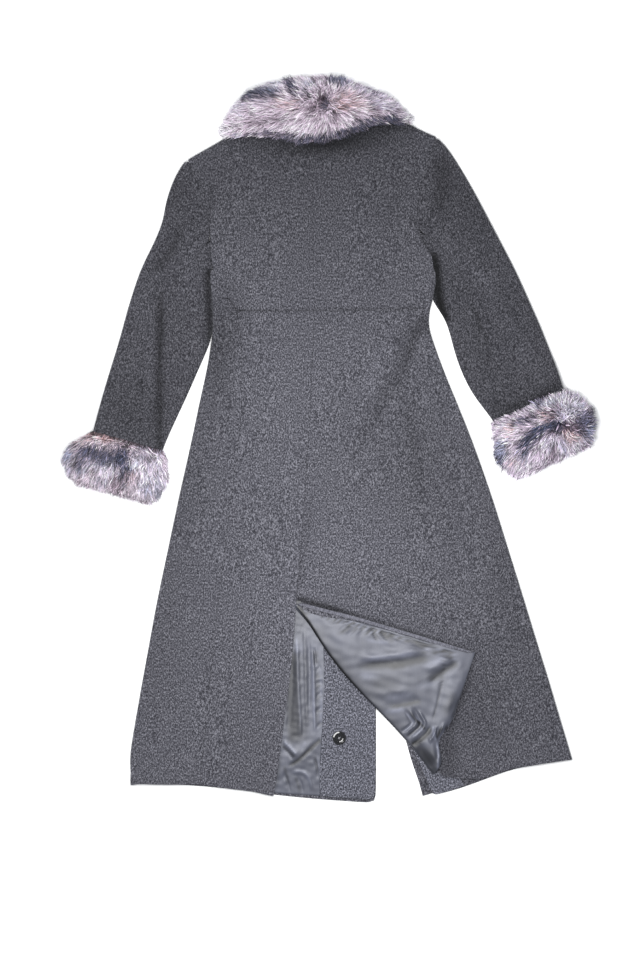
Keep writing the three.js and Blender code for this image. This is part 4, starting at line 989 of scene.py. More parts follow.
def gathers(seed):
    """A row of short pleats below the hem strip, as creases and as strokes of painted light and
    shade.
    """
    rng = np.random.default_rng(seed)
    strokes, creases = [], []
    along, last = PLEATED
    while along < last:
        start = EDGE_START + along * EDGE_RUN + STRIP_WIDTH * EDGE_DOWN
        slant = math.radians(np.interp(along, PLEATED, (-62, 6)) + rng.uniform(-12, 12))
        length = rng.uniform(10, 24)
        down = np.array([
            EDGE_DOWN[0] * math.cos(slant) - EDGE_DOWN[1] * math.sin(slant),
            EDGE_DOWN[0] * math.sin(slant) + EDGE_DOWN[1] * math.cos(slant),
        ])
        path = [tuple(start), tuple(start + 0.5 * length * down), tuple(start + length * down)]
        depth = rng.uniform(0.5, 1.1)
        wide = rng.uniform(1.8, 2.6) + 1.2 * (along > 170)
        strokes.append((-0.95 * depth, wide, wide, 0.1, 0.6, path))
        creases.append((-1.3 * depth, wide, wide, 0.1, 0.6, path))
        ridge = [(x + 0.45 * PLEAT_STEP, y - 1) for x, y in path]
        strokes.append((0.34 * depth, wide, wide, 0.1, 0.6, ridge))
        along += PLEAT_STEP * rng.uniform(0.65, 1.35)
    return strokes, creases


def shallow(height):
    """Keeps a trough from cutting into the layer below, and leaves ridges as they are."""
    return np.where(height < 0, -DEEPEST * np.tanh(-height / DEEPEST), height)


satin_corner = refined("vent_flap_lining", "satin_vent_flap", 3)
draw_up(satin_corner, 9.2, 0.9)
pulled(satin_corner, CORNER_PULLS)
corners = corners_of(satin_corner)
spots = corners[:, :2]
pleat_shading, pleat_creases = gathers(31)
sagged = crease_height(spots, CORNER_CREASES + pleat_creases) + 0.3 * ripple(spots, 21, 22)
sagged = shallow(0.9 * sagged)
corners[:, 2] += eased(*SATIN_TOP, corners[:, 2]) * sagged
put_corners(satin_corner, corners)
finish_cloth(
    satin_corner, "vent_flap_lining", satin.material,
    edge=0.3, strokes=stronger(CORNER_LIGHT_AND_SHADE_STROKES + pleat_shading, CORNER_CONTRAST),
    washes=CORNER_LIGHT_AND_SHADE_WASHES, base=CORNER_TONE,
)
show_size(satin_corner)

# %% [markdown]
# A narrow strip of wool turns over the top edge of the corner. It was stitched along with a
# machine, which puckers it, so small ribs run across it every four or five millimetres.

# %% Hem strip
RIB_PITCH = 4.6
STRIP_TONE = 0.10
STRIP_SPAN = (2.0, 331.0)                    # from the first stitch to the last, along the edge
STRIP_HELD = (0.6, 7.4)                      # from the cloth's edge to the satin
STRIP_LIFT = 0.9
STRIP_TOP = (12.6, 13.4)                     # heights between which the ribs fade in
strip = refined("vent_flap_edge", "wool_hem_strip", 3)
corners = corners_of(strip)
along, below = along_and_below(corners)
first, last = along.min(), along.max()
top, bottom = below.min(), below.max()
along = np.interp(along, (first, last), STRIP_SPAN)
sag = 3.4 * (1 - eased(*FROM_TIP, along))
below = np.interp(below, (top, bottom), STRIP_HELD) + sag
corners[:, :2] = EDGE_START + along[:, None] * EDGE_RUN + below[:, None] * EDGE_DOWN
ribs = 0.5 + 0.5 * np.sin(2 * math.pi * (along + 0.35 * below) / RIB_PITCH)
corners[:, 2] += STRIP_LIFT + eased(*STRIP_TOP, corners[:, 2]) * (0.4 * ribs - 0.1)
put_corners(strip, corners)
finish_cloth(
    strip, "vent_flap_edge", hem_tape, edge=0.3, base=STRIP_TONE
)
show_size(strip)

# %% [markdown]
# Beside the left facing lies another piece of the same satin. It hangs from the waist, so its
# folds run down its length. At the bottom it is caught under the back and a sharp crease
# crosses it. Its upper tip is pulled down, so that it ends beneath the turned corner.

# %% Laid lining
LAID_CREASES = [
    (1.6, 3, 5, 0.1, 0.2, [(-56, -361), (-55, -433), (-51, -496), (-49, -555)]),
    (-1.8, 8, 4, 0.1, 0.2, [(-67, -397), (-69, -469), (-73, -532)]),
    (1.2, 4, 3, 0.1, 0.2, [(-44, -334), (-42, -397), (-40, -469), (-38, -532)]),
    (-1.4, 3, 4, 0.1, 0.2, [(-35, -361), (-33, -433), (-35, -496)]),
    (1.4, 3, 2, 0.1, 0.2, [(-28, -379), (-26, -451), (-25, -514), (-24, -537)]),
    (-1.6, 2.4, 2.4, 0.1, 0.3, [(-26, -375), (-24, -393), (-24, -411)]),
    (-1.8, 2, 2, 0.3, 0.1, [(-26, -440), (-19, -438), (-11, -435)]),
    (-1.8, 2, 2, 0.3, 0.1, [(-24, -463), (-19, -460), (-11, -454)]),
    (-1.8, 2, 2, 0.3, 0.1, [(-26, -490), (-19, -487), (-11, -481)]),
    (-1.6, 2, 2, 0.3, 0.1, [(-24, -519), (-19, -516), (-11, -508)]),
    (-1.4, 2, 2, 0.3, 0.1, [(-24, -417), (-19, -413), (-13, -408)]),
    (-3.0, 2.4, 3.2, 0.2, 0.2, [(-10, -535), (-26, -550), (-42, -568), (-58, -580), (-74, -589)]),
    (2.0, 2.4, 2.4, 0.2, 0.2, [(-82, -541), (-69, -555), (-55, -570)]),
    (-1.8, 2.2, 2.2, 0.2, 0.2, [(-85, -552), (-74, -562), (-62, -577)]),
    (1.8, 3, 3, 0.2, 0.2, [(-69, -600), (-47, -597), (-33, -609), (-29, -634)]),
    (-1.6, 2.4, 2.4, 0.2, 0.2, [(-82, -598), (-73, -616), (-69, -636)]),
    (-1.6, 2.4, 2.4, 0.2, 0.2, [(-55, -606), (-47, -624), (-46, -643)]),
    (-1.4, 2.4, 2.4, 0.2, 0.2, [(-26, -573), (-20, -591), (-19, -613)]),
]
# Strokes of painted shadow along the left edge under the back, painted shade in the folds and the
# crossing crease, and painted light on their ridges.
LAID_LIGHT_AND_SHADE_STROKES = [
    (-1.00, 20, 9, 0.1, 0.1, [(-68, -375), (-68, -436), (-67, -491), (-64, -552)]),
    (0.45, 2, 2, 0.1, 0.2, [(-58, -348), (-55, -408), (-53, -464), (-48, -532)]),
    (0.40, 2.2, 2.2, 0.1, 0.2, [(-30, -381), (-28, -436), (-26, -491), (-25, -527)]),
    (-0.25, 4, 4, 0.2, 0.2, [(-43, -340), (-41, -408), (-39, -491), (-38, -541)]),
    (0.12, 5, 5, 0.2, 0.2, [(-49, -353), (-47, -436), (-45, -505)]),
    (-0.55, 5, 5, 0.2, 0.3, [(-23, -378), (-24, -392), (-22, -408)]),
    (-0.35, 3, 3, 0.2, 0.2, [(-21, -408), (-21, -464), (-21, -519)]),
    (-0.45, 2.2, 2.2, 0.2, 0.2, [(-23, -425), (-17, -427), (-11, -424)]),
    (-0.45, 2.2, 2.2, 0.2, 0.2, [(-22, -443), (-17, -444), (-11, -441)]),
    (-0.45, 2.2, 2.2, 0.2, 0.2, [(-22, -464), (-16, -465), (-11, -462)]),
    (-0.45, 2.2, 2.2, 0.2, 0.2, [(-22, -488), (-16, -490), (-11, -487)]),
    (-0.45, 2.2, 2.2, 0.2, 0.2, [(-21, -513), (-16, -514), (-11, -511)]),
    (0.28, 2, 2, 0.2, 0.2, [(-14, -403), (-13, -447), (-13, -480), (-14, -519)]),
    (-1.3, 3.5, 3, 0.15, 0.2, [(-9, -537), (-24, -549), (-38, -562), (-54, -578), (-75, -590)]),
    (0.50, 2, 2, 0.2, 0.2, [(-82, -541), (-68, -554), (-54, -569)]),
    (-0.70, 2.4, 2.4, 0.2, 0.2, [(-85, -549), (-72, -561), (-58, -574)]),
    (0.25, 4, 4, 0.2, 0.3, [(-40, -542), (-46, -552), (-51, -560)]),
    (0.30, 3, 3, 0.2, 0.3, [(-71, -600), (-54, -596), (-39, -599), (-31, -629)]),
    (-0.45, 3, 3, 0.2, 0.3, [(-82, -585), (-75, -601), (-71, -626)]),
    (-0.40, 3, 3, 0.2, 0.3, [(-61, -605), (-54, -621), (-51, -640)]),
    (-0.40, 2.4, 2.4, 0.2, 0.3, [(-25, -568), (-21, -585), (-18, -607)]),
    (0.30, 2, 2, 0.2, 0.3, [(-21, -566), (-16, -588), (-15, -612)]),
    (-0.30, 5, 5, 0.2, 0.2, [(-90, -574), (-92, -601), (-96, -629)]),
]
# Washes of painted shade: a painted shadow where the upper tip ends beneath the turned corner, and
# darker shade at the top and the bottom.
LAID_SHADE_WASHES = [
    (-0.45, -54, -316, 16, 34, 0),
    (-1.7, -53, -285, 9, 10, 0),
    (-0.15, -40, -596, 40, 36, 0),
]
LAID_PULLS = [(0.0, -32.0, -54, -262, 30, 45, 0)]
LAID_TONE = 0.10
LAID_CONTRAST = 1.35
LAID_TOP = (3.4, 4.2)                        # heights between which the creases fade in
LAID_HEM = (-640, -630)                      # the stitched hem stays flat
LAID_DEEPEST = 0.8
laid = refined("lining_front", "satin_laid_lining", 3)
pulled(laid, LAID_PULLS)
corners = corners_of(laid)
spots = corners[:, :2]
upper = eased(*LAID_TOP, corners[:, 2]) * eased(*LAID_HEM, corners[:, 1])
sagged = 0.55 * crease_height(spots, LAID_CREASES) + 0.25 * ripple(spots, 5, 16)
corners[:, 2] += upper * np.maximum(sagged, -LAID_DEEPEST)
put_corners(laid, corners)
finish_cloth(
    laid, "lining_front", satin.material,
    edge=0.3, strokes=stronger(LAID_LIGHT_AND_SHADE_STROKES, LAID_CONTRAST), washes=LAID_SHADE_WASHES, base=LAID_TONE,
)
show_size(laid)

# %% [markdown]
# The fur is long and thick, and its shape is only the ends of its hairs. So each trimming is
# made of two pieces: a pelt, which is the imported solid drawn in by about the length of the
# hair, and a coat of hair that grows out of it. The pelt keeps its inner wall, because the
# sleeve runs through there.

# %% Pelt
OUTER_SIDE = -0.15                           # faces that lean in more than this are the inner wall


def pelt(node, name, draw_in, middle_height, pulls=()):
    """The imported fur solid, with its outer side drawn in to the roots of the hair."""
    skin = refined(node, name, 2)
    corners = corners_of(skin)
    outward = np.empty(len(corners) * 3)
    skin.data.vertices.foreach_get("normal", outward)
    outward = outward.reshape(-1, 3)
    above = np.sign(corners[:, 2] - middle_height)
    outer = np.where(outward[:, 2] * above > OUTER_SIDE, 1.0, 0.0)
    corners -= outward * outer[:, None] * draw_in
    corners[:, 2] = np.maximum(corners[:, 2], 1.0)
    put_corners(skin, corners)
    pulled(skin, pulls)
    pick(skin)
    bpy.ops.object.shade_smooth()
    skin.data.materials.append(pelt_finish.material)
    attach(skin, "root")
    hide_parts(node)
    return skin


# %% [markdown]
# Hair follows a flow. We comb it with a short table: at a few places we say which way it
# lies, in degrees from the +X direction, and every root takes the blend of the places near
# it. The dye works in the same way, with soft oval patches of colour on a base, and some of
# them lay painted shade along the lower edge of the collar.

# %% Comb and dye
def turned(flow, angle):
    """Directions on the table, each turned by its own angle."""
    return np.stack([
        flow[:, 0] * np.cos(angle) - flow[:, 1] * np.sin(angle),
        flow[:, 0] * np.sin(angle) + flow[:, 1] * np.cos(angle),
    ], 1)


def combed(spots, table, reach):
    """Direction of the hair at each spot, blended from a table of x, y and degrees."""
    flow = np.zeros((len(spots), 2))
    for x, y, degrees in table:
        near = np.exp(-((spots[:, 0] - x) ** 2 + (spots[:, 1] - y) ** 2) / (2 * reach ** 2)) + 1e-9
        turn = math.radians(degrees)
        flow += near[:, None] * np.array([math.cos(turn), math.sin(turn)])
    return flow / np.maximum(np.hypot(*flow.T), 1e-9)[:, None]


def dyed_and_shaded(spots, base, patches, rng):
    """Colour of the hair at each spot: soft oval patches, which some hairs take less of."""
    colour = np.tile(np.array(base, float), (len(spots), 1))
    shaken = spots + rng.normal(0, 3.0, spots.shape)
    for *oval, strength, tint in patches:
        share = 0.92 * strength * (1 - eased(0.5, 1.3, np.hypot(*in_oval(shaken, *oval))))
        share = np.where(rng.random(len(spots)) < share, 0.5 + 0.5 * share, 0.35 * share)
        colour += share[:, None] * (np.array(tint) - colour)
    return colour


# %% [markdown]
# A hair is a narrow blade of five triangles that starts on the pelt, rises, leans over with
# the flow and sinks at its tip. Neighbours gather into locks, which gives the fur its tufts:
# every hair picks the nearest lock and bends its tip towards it. Thousands of blades are
# made at once from arrays, because no modelling tool by hand could set each one.

# %% Hair
HAIRS = 30000                                # on each trimming
BLADE = np.array([1.0, 0.95, 0.62])          # width at the root, a third and two thirds up
CORNERS = 7                                  # two at each of those heights, and the tip
SPARE = (-7.0, 4.0)                          # where tips end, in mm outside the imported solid
DARK_EXTRA = 5.0                             # dark guard hairs are longer
SILVER = (0.80, 0.78, 0.88)                  # colour of frosted tips
BRIGHT = np.array([0.18, 0.18, 0.7, 0.7, 1.2, 1.2, 1.5])
FROST = np.array([0, 0, 0, 0, 0.22, 0.22, 0.7])
LOCK_REACH = 9                               # how far a lock draws a tip sideways, at most
BELOW_SHARE = 0.12                           # few hairs grow on the side that lies on the table
TIP_SAG = 2.2
LOWEST_HAIR = 0.8


def roots_on(skin, rng, middle_height):
    """Random points on the outer side of a pelt, with the direction away from it."""
    skin.data.calc_loop_triangles()
    triangles = np.empty(len(skin.data.loop_triangles) * 3, int)
    skin.data.loop_triangles.foreach_get("vertices", triangles)
    a, b, c = (corners_of(skin)[triangles.reshape(-1, 3)[:, k]] for k in range(3))
    across = np.cross(b - a, c - a)
    area = np.linalg.norm(across, axis=1)
    facing = across / np.maximum(area, 1e-9)[:, None]
    middle = (a + b + c) / 3
    outer = facing[:, 2] * np.sign(middle[:, 2] - middle_height) > OUTER_SIDE
    wanted = area * outer * np.where(facing[:, 2] < -0.3, BELOW_SHARE, 1.0)
    chosen = rng.choice(len(wanted), HAIRS, p=wanted / wanted.sum())
    u, v = rng.random((2, HAIRS, 1))
    u, v = np.where(u + v > 1, 1 - u, u), np.where(u + v > 1, 1 - v, v)
    return a[chosen] + u * (b - a)[chosen] + v * (c - a)[chosen], facing[chosen]


def nearest_lock(root, lock_root):
    """Which lock each hair belongs to, worked out for some hairs at a time."""
    nearest = []
    for start in range(0, HAIRS, 2000):
        away = root[start:start + 2000, None] - lock_root[None]
        nearest.append((away ** 2).sum(2).argmin(1))
    return np.concatenate(nearest)


def fur_surface(node):
    """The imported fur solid, ready to be asked how far a point lies outside it."""
    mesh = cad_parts[node].data
    points = [vertex.co / MM for vertex in mesh.vertices]
    return BVHTree.FromPolygons(points, [tuple(face.vertices) for face in mesh.polygons])


def overshoot(tips, surface):
    """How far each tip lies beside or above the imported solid, negative inside it."""
    past = np.empty(len(tips))
    down = Vector((0, 0, -1))
    for k, tip in enumerate(tips):
        distance = surface.find_nearest(Vector(tip))[3]
        roof = surface.ray_cast(Vector((tip[0], tip[1], 200)), down)[0]
        outside = roof is None or tip[2] > roof.z
        past[k] = distance if outside else -distance
    return past


def blades_along(points, rng):
    """The seven corners of every blade, from four points along each hair."""
    run = points[2] - points[0]
    run /= np.maximum(np.linalg.norm(run, axis=1), 1e-6)[:, None]
    flat_side = np.cross(run, np.array([0, 0, 1.0]))
    flat_side /= np.maximum(np.linalg.norm(flat_side, axis=1), 1e-6)[:, None]
    roll = rng.normal(0, 0.7, HAIRS)[:, None]
    side = flat_side * np.cos(roll) + np.cross(run, flat_side) * np.sin(roll)
    width = rng.uniform(0.6, 1.5, HAIRS)[:, None]
    rows = []
    for point, share in zip(points[:3], BLADE):
        rows += [point - side * width * share / 2, point + side * width * share / 2]
    return np.stack([*rows, points[3]], 1)


def hair_mesh(name, blades):
    """One mesh of all the blades: two four-sided faces and a triangle each."""
    first = np.arange(HAIRS)[:, None] * CORNERS
    low = first + np.array([0, 1, 3, 2])
    high = first + np.array([2, 3, 5, 4])
    tip = first + np.array([4, 5, 6])
    mesh = bpy.data.meshes.new(name)
    faces = [*low.tolist(), *high.tolist(), *tip.tolist()]
    mesh.from_pydata((blades.reshape(-1, 3) * MM).tolist(), [], faces)
    return mesh


def root_to_tip(colour, dark, guard, pale, uneven, nearest, locks, rng):
    """Each hair's colour at its seven corners: a dark root, and frost at some tips."""
    kind = rng.random(HAIRS)
    colour = colour * np.where(kind < 0.32, guard, np.where(kind > 0.72, pale, 1.0))[:, None]
    colour *= rng.uniform(0.75, 1.25, HAIRS)[:, None]
    colour *= np.exp(rng.normal(0, uneven, locks))[nearest][:, None]
    ends = colour[:, None] * BRIGHT[None, :, None]
    frosted = rng.uniform(0.2, 1.0, HAIRS) * np.where(dark, 0.08, 1.0)
    ends += FROST[None, :, None] * frosted[:, None, None] * (np.array(SILVER) - ends)
    return np.clip(ends.reshape(-1, 3), 0, 0.95)


def hair_coat(
    name, node, skin, seed, comb, reach, base, patches, whorl, length, middle_height,
    lift=0.3, per_lock=16, uneven=0.5, tuft=3.0, guard=0.14, pale=1.9,
):
    """Grows hair on a pelt, gives each hair its colour, and trims it to the fur's outline."""
    rng = np.random.default_rng(seed)
    root, out = roots_on(skin, rng, middle_height)
    lock_root = root[rng.choice(HAIRS, HAIRS // per_lock, replace=False)]
    locks = len(lock_root)
    nearest = nearest_lock(root, lock_root)

    x, y, wide = whorl
    ruffled = np.exp(-((root[:, 0] - x) ** 2 + (root[:, 1] - y) ** 2) / wide ** 2)
    turn = rng.normal(0, 0.2, HAIRS) + rng.normal(0, 0.34, locks)[nearest] * (1 + 2.2 * ruffled)
    turn += rng.normal(0, 1.1, HAIRS) * ruffled
    flow = np.zeros((HAIRS, 3))
    flow[:, :2] = turned(combed(root[:, :2], comb, reach), turn)
    inward = np.minimum((flow * out).sum(1), 0)
    flow -= inward[:, None] * out
    flow /= np.maximum(np.linalg.norm(flow, axis=1), 0.2)[:, None]

    sideways = np.clip(1 - np.abs(out[:, 2]), 0, 1)
    long = length * rng.uniform(0.65, 1.15, HAIRS) * (1 - 0.4 * sideways) * (1 - 0.5 * ruffled)
    rise = lift * rng.uniform(0.5, 1.4, HAIRS) + 0.5 * ruffled
    seen_at = root + flow * (0.5 * long)[:, None]
    colour = dyed_and_shaded(seen_at[:, :2], base, patches, rng)
    dark = colour.sum(1) < 0.45 * sum(base)
    spare = rng.uniform(*SPARE, HAIRS) + DARK_EXTRA * dark
    spare += np.clip(rng.normal(0, tuft, locks), -2 * tuft, 1.5 * tuft)[nearest]
    surface = fur_surface(node)
    for _ in range(2):
        tips = root + flow * long[:, None] + out * (0.75 * long * rise)[:, None]
        past = overshoot(tips, surface) - spare
        long *= np.clip(1 - np.maximum(past, 0) / long, 0.3, 1)

    gather = lock_root[nearest] - root
    strayed = np.maximum(np.linalg.norm(gather, axis=1), 1e-6)
    gather *= np.minimum(1, LOCK_REACH / strayed)[:, None]
    points = []
    for share in (0.0, 0.36, 0.7, 1.0):
        lean = flow * (long * share)[:, None]
        up = out * (long * rise * (1.5 * share - 0.75 * share ** 2))[:, None]
        curl = rng.normal(0, 0.5, (HAIRS, 3)) * share
        point = root + lean + up + curl + gather * 0.62 * share ** 1.6
        point[:, 2] -= TIP_SAG * share ** 2
        point[:, 2] = np.maximum(point[:, 2], LOWEST_HAIR + rng.random(HAIRS))
        points.append(point)
    blades = blades_along(points, rng)
    mesh = hair_mesh(name, blades)
    dye = np.ones((HAIRS * CORNERS, 4))
    dye[:, :3] = root_to_tip(colour, dark, guard, pale, uneven, nearest, locks, rng)
    mesh.attributes.new("dye", "FLOAT_COLOR", "POINT").data.foreach_set("color", dye.ravel())
    coat = bpy.data.objects.new(name, mesh)
    bpy.context.scene.collection.objects.link(coat)
    mesh.materials.append(hair_finish.material)
    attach(coat, "root")
    triangles = sum(len(face.vertices) - 2 for face in mesh.polygons)
    print(f"{name}: {HAIRS} hairs, {triangles} triangles, up to {blades[..., 2].max():.0f} mm")


# %% [markdown]
# The colours are few: a dusty pink, a pale lilac, a dark navy and the brown-purple of the
# whorl. Colours here are linear, so they look darker as numbers than they do on the fur.

# %% Fur colours
PINK = (0.60, 0.485, 0.585)
ROSE = (0.42, 0.335, 0.43)
DUSKY = (0.335, 0.265, 0.315)
LILAC = (0.54, 0.52, 0.70)
ICE = (0.50, 0.55, 0.66)
WISP = (0.88, 0.86, 0.92)
NAVY = (0.022, 0.028, 0.055)
STEEL = (0.10, 0.12, 0.18)
PLUM = (0.075, 0.05, 0.07)
PEACH = (0.58, 0.36, 0.35)

# %% [markdown]
# On the collar the hair springs from a dark whorl just right of the middle. It runs out to
# both tips, up over the folded edge and down onto the back. Patches of navy lie along the
# top on the left, and a steel grey one above the whorl. A navy band along the lower edge is
# partly the fur's own navy and partly painted shade, where the collar lies over the back.

# %% Collar
COLLAR_COMB = [
    (-173, 561, 200), (-150, 579, 195), (-119, 593, 182), (-119, 557, 205), (-78, 575, 196),
    (-69, 611, 160), (-51, 548, 225), (-109, 622, 158), (-65, 640, 130), (-33, 636, 112),
    (-40, 590, 195), (-29, 604, 165), (-6, 633, 95), (7, 620, 70), (21, 604, 20), (-4, 586, 268),
    (-19, 568, 255), (12, 557, 282), (30, 640, 80), (43, 590, 330), (57, 611, 60), (48, 561, 300),
    (79, 622, 62), (84, 590, 340), (86, 575, 300), (115, 604, 35), (122, 582, 345), (143, 582, 0),
    (154, 575, 352),
]
# x, y, half width, half length, degrees, strength, colour
COLLAR_PATCHES = [
    (-111, 634, 46, 12, 24, 0.6, ICE), (75, 628, 46, 14, -18, 0.5, LILAC),
    (-36, 639, 22, 10, 5, 0.5, ICE), (-121, 618, 34, 9, 8, 0.92, NAVY),
    (-145, 616, 14, 9, 20, 0.8, NAVY), (-98, 621, 16, 6, 14, 0.6, STEEL),
    (-64, 628, 21, 8, 113, 0.95, NAVY), (-71, 641, 12, 8, 100, 0.7, NAVY),
    (-41, 628, 10, 16, -20, 0.35, STEEL), (18, 645, 20, 9, -8, 0.85, STEEL),
    (3, 647, 12, 7, 0, 0.6, NAVY), (-106, 606, 30, 5, 0, 0.4, STEEL),
    (-10, 608, 12, 12, 0, 0.95, PLUM), (-22, 594, 20, 9, 10, 0.6, PLUM),
    (-4, 598, 8, 12, 0, 0.7, NAVY), (-163, 598, 12, 16, 40, 0.4, ICE),
    (83, 593, 10, 18, 20, 0.45, PLUM), (12, 580, 7, 20, 10, 0.4, PLUM),
    (-77, 598, 26, 10, -8, 0.5, PEACH), (34, 606, 26, 20, 0, 0.5, PEACH),
    (62, 598, 18, 10, 0, 0.4, PEACH), (98, 598, 30, 10, -10, 0.5, LILAC),
    (121, 606, 20, 9, -20, 0.4, PINK), (-114, 572, 46, 8, 14, 0.3, PLUM),
    # The navy and steel patches on the next six lines run along the lower edge: partly the fur's own
    # navy, partly painted shade where the collar lies over the back.
    (-77, 544, 26, 7, -8, 0.9, NAVY), (-41, 536, 26, 8, 0, 0.95, NAVY),
    (-10, 538, 24, 9, 6, 0.95, NAVY), (18, 545, 22, 7, 22, 0.95, NAVY),
    (47, 556, 22, 7, 22, 0.95, NAVY), (70, 567, 20, 6.5, 26, 0.9, NAVY),
    (98, 574, 22, 6.5, 6, 0.95, NAVY), (121, 574, 16, 6.5, -4, 0.95, NAVY),
    (-111, 552, 24, 5, 4, 0.7, NAVY), (-137, 549, 20, 5, 4, 0.5, NAVY),
    (-163, 546, 16, 5, 0, 0.5, STEEL), (-52, 549, 20, 6, 0, 0.4, ICE),
    (146, 586, 16, 24, 0, 0.75, WISP), (-193, 556, 15, 24, -20, 0.7, WISP),
]
COLLAR_PULLS = [(8.0, -26.0, -188, 586, 24, 22, 0), (-8.0, -20.0, 138, 600, 30, 20, 0)]
BELOW_ALL = -10                              # the collar has no inner wall to keep
collar_pelt = pelt("fur_collar", "collar_pelt", 9, BELOW_ALL, COLLAR_PULLS)
hair_coat(
    "collar_hair", "fur_collar", collar_pelt, 11, COLLAR_COMB, 18, PINK, COLLAR_PATCHES,
    whorl=(-8, 604, 22), length=31, middle_height=BELOW_ALL,
    lift=0.34, per_lock=42, uneven=0.22, tuft=2.0, guard=0.32, pale=1.6,
)

# %% [markdown]
# The cuffs are cut from the same fur, and each lies in its own way. On the left one the hair
# hangs down towards the hand. On the right one the pelt is twisted: above its dark band the
# hair stands up over the sleeve, and below it the hair runs down and out.

# %% Cuffs
LEFT_COMB = [
    (-456, -1, 222), (-469, -28, 232), (-420, -1, 238), (-425, -37, 250), (-456, -58, 240),
    (-384, -15, 250), (-389, -55, 255), (-411, -69, 250), (-357, -22, 262), (-348, -64, 258),
    (-366, -91, 250), (-321, -33, 272), (-312, -73, 268), (-294, -46, 280), (-292, -91, 262),
    (-330, -105, 262),
]
LEFT_PATCHES = [
    (-411, 3, 36, 12, -12, 0.55, PEACH), (-447, 1, 14, 12, 30, 0.4, PEACH),
    (-320, -48, 34, 50, 0, 0.35, LILAC), (-426, -21, 22, 11, -8, 0.9, NAVY),
    (-397, -30, 22, 12, -14, 0.85, NAVY), (-443, -36, 12, 16, -10, 0.75, NAVY),
    (-408, -42, 26, 9, -10, 0.6, STEEL), (-373, -32, 13, 18, -20, 0.97, NAVY),
    (-362, -48, 9, 22, 14, 0.95, NAVY), (-365, -66, 8, 16, 6, 0.8, NAVY),
    (-467, -24, 12, 20, 0, 0.85, STEEL), (-468, -48, 8, 20, 0, 0.5, STEEL),
    (-443, -54, 18, 10, 0, 0.55, STEEL), (-394, -54, 24, 14, 0, 0.35, LILAC),
    (-329, -81, 8, 24, -6, 0.6, STEEL), (-310, -86, 7, 26, -10, 0.65, STEEL),
    (-353, -65, 12, 12, 0, 0.45, PEACH), (-379, -78, 10, 22, 0, 0.5, PLUM),
    (-382, 10, 50, 5, -12, 0.9, NAVY), (-349, -2, 40, 5, -22, 0.85, NAVY),
    (-316, -14, 30, 5, -18, 0.8, STEEL), (-365, 1, 30, 5, -16, 0.6, ICE),
    (-346, -39, 7, 16, 0, 0.5, ICE), (-300, -96, 8, 22, -14, 0.6, STEEL),
    (-420, -66, 22, 9, -10, 0.35, PINK), (-335, -30, 16, 7, -10, 0.45, PLUM),
    (-408, -75, 16, 12, -10, 0.45, STEEL),
]
RIGHT_COMB = [
    (309, -1, 232), (331, 6, 226), (323, -37, 240), (352, -10, 225), (345, -40, 240),
    (381, -8, 238), (381, -33, 248), (410, -4, 262), (417, -28, 275), (444, -1, 312),
    (449, -22, 300), (471, 6, 338), (475, 35, 10), (464, 57, 40), (439, 78, 80), (417, 64, 105),
    (392, 60, 118), (363, 46, 128), (336, 32, 140), (314, 21, 165), (435, 42, 30), (403, 39, 200),
    (372, 21, 210),
]
RIGHT_PATCHES = [
    (329, 3, 14, 30, -36, 0.4, PINK), (397, 64, 40, 12, 24, 0.6, ICE),
    (428, 45, 22, 12, 0, 0.5, LILAC), (442, 57, 24, 12, 10, 0.5, ICE),
    (371, 9, 26, 11, 40, 0.97, NAVY), (355, -8, 20, 12, 58, 0.9, NAVY),
    (391, 23, 28, 9, 12, 0.95, NAVY), (413, 23, 26, 11, 0, 0.9, NAVY),
    (436, 23, 20, 12, 0, 0.85, PLUM), (455, 29, 14, 26, 10, 0.85, NAVY),
    (470, 39, 8, 22, 0, 0.8, NAVY), (470, 8, 10, 22, 0, 0.65, STEEL),
    (340, 28, 22, 5, 22, 0.9, NAVY), (382, 45, 34, 5, 26, 0.85, PLUM),
    (363, 34, 18, 4, 26, 0.8, NAVY), (379, 65, 14, 9, 30, 0.7, NAVY),
    (404, 48, 18, 10, 20, 0.5, PLUM), (388, 39, 12, 9, 20, 0.55, PEACH),
    (310, -20, 14, 26, -10, 0.8, STEEL), (306, -37, 12, 18, 0, 0.75, NAVY),
    (436, 5, 22, 10, -20, 0.6, PEACH), (402, -11, 8, 24, -6, 0.6, PLUM),
    (421, -12, 9, 22, 14, 0.6, STEEL), (397, -5, 18, 12, 0, 0.4, LILAC),
    (337, -39, 20, 8, 0, 0.35, PEACH), (351, -31, 9, 22, -14, 0.5, STEEL),
    (447, -11, 14, 14, 0, 0.4, ICE), (326, 20, 10, 16, -30, 0.5, PEACH),
    (442, 76, 14, 9, 20, 0.5, STEEL), (318, 26, 12, 6, 20, 0.6, ICE),
]
CUFF_MIDDLE = 15                             # height of the hand's way through
# seed, comb and its reach, base colour, patches, whorl, length of hair
CUFFS = {
    "left": (12, LEFT_COMB, 15, DUSKY, LEFT_PATCHES, (-373, -32, 10), 29),
    "right": (13, RIGHT_COMB, 14, ROSE, RIGHT_PATCHES, (435, 32, 24), 28),
}
for side, growth in CUFFS.items():
    node = f"fur_cuff_{side}"
    skin = pelt(node, f"{side}_cuff_pelt", 8, CUFF_MIDDLE)
    hair_coat(f"{side}_cuff_hair", node, skin, *growth, middle_height=CUFF_MIDDLE)

# %% [markdown]
# A spare button is sewn inside the front, 24 mm across. Turned on a lathe, such a button has a
# rim that slopes outwards and a dished middle with four holes. Here a cylinder gets its top
# inset and lifted for the rim, then inset and pushed down twice for the dish. The edges are
# bevelled, and four drills are cut out of it. A sewn button never sits quite level: this one
# leans a little to the right, so that the slope of its rim catches the softbox at the left.

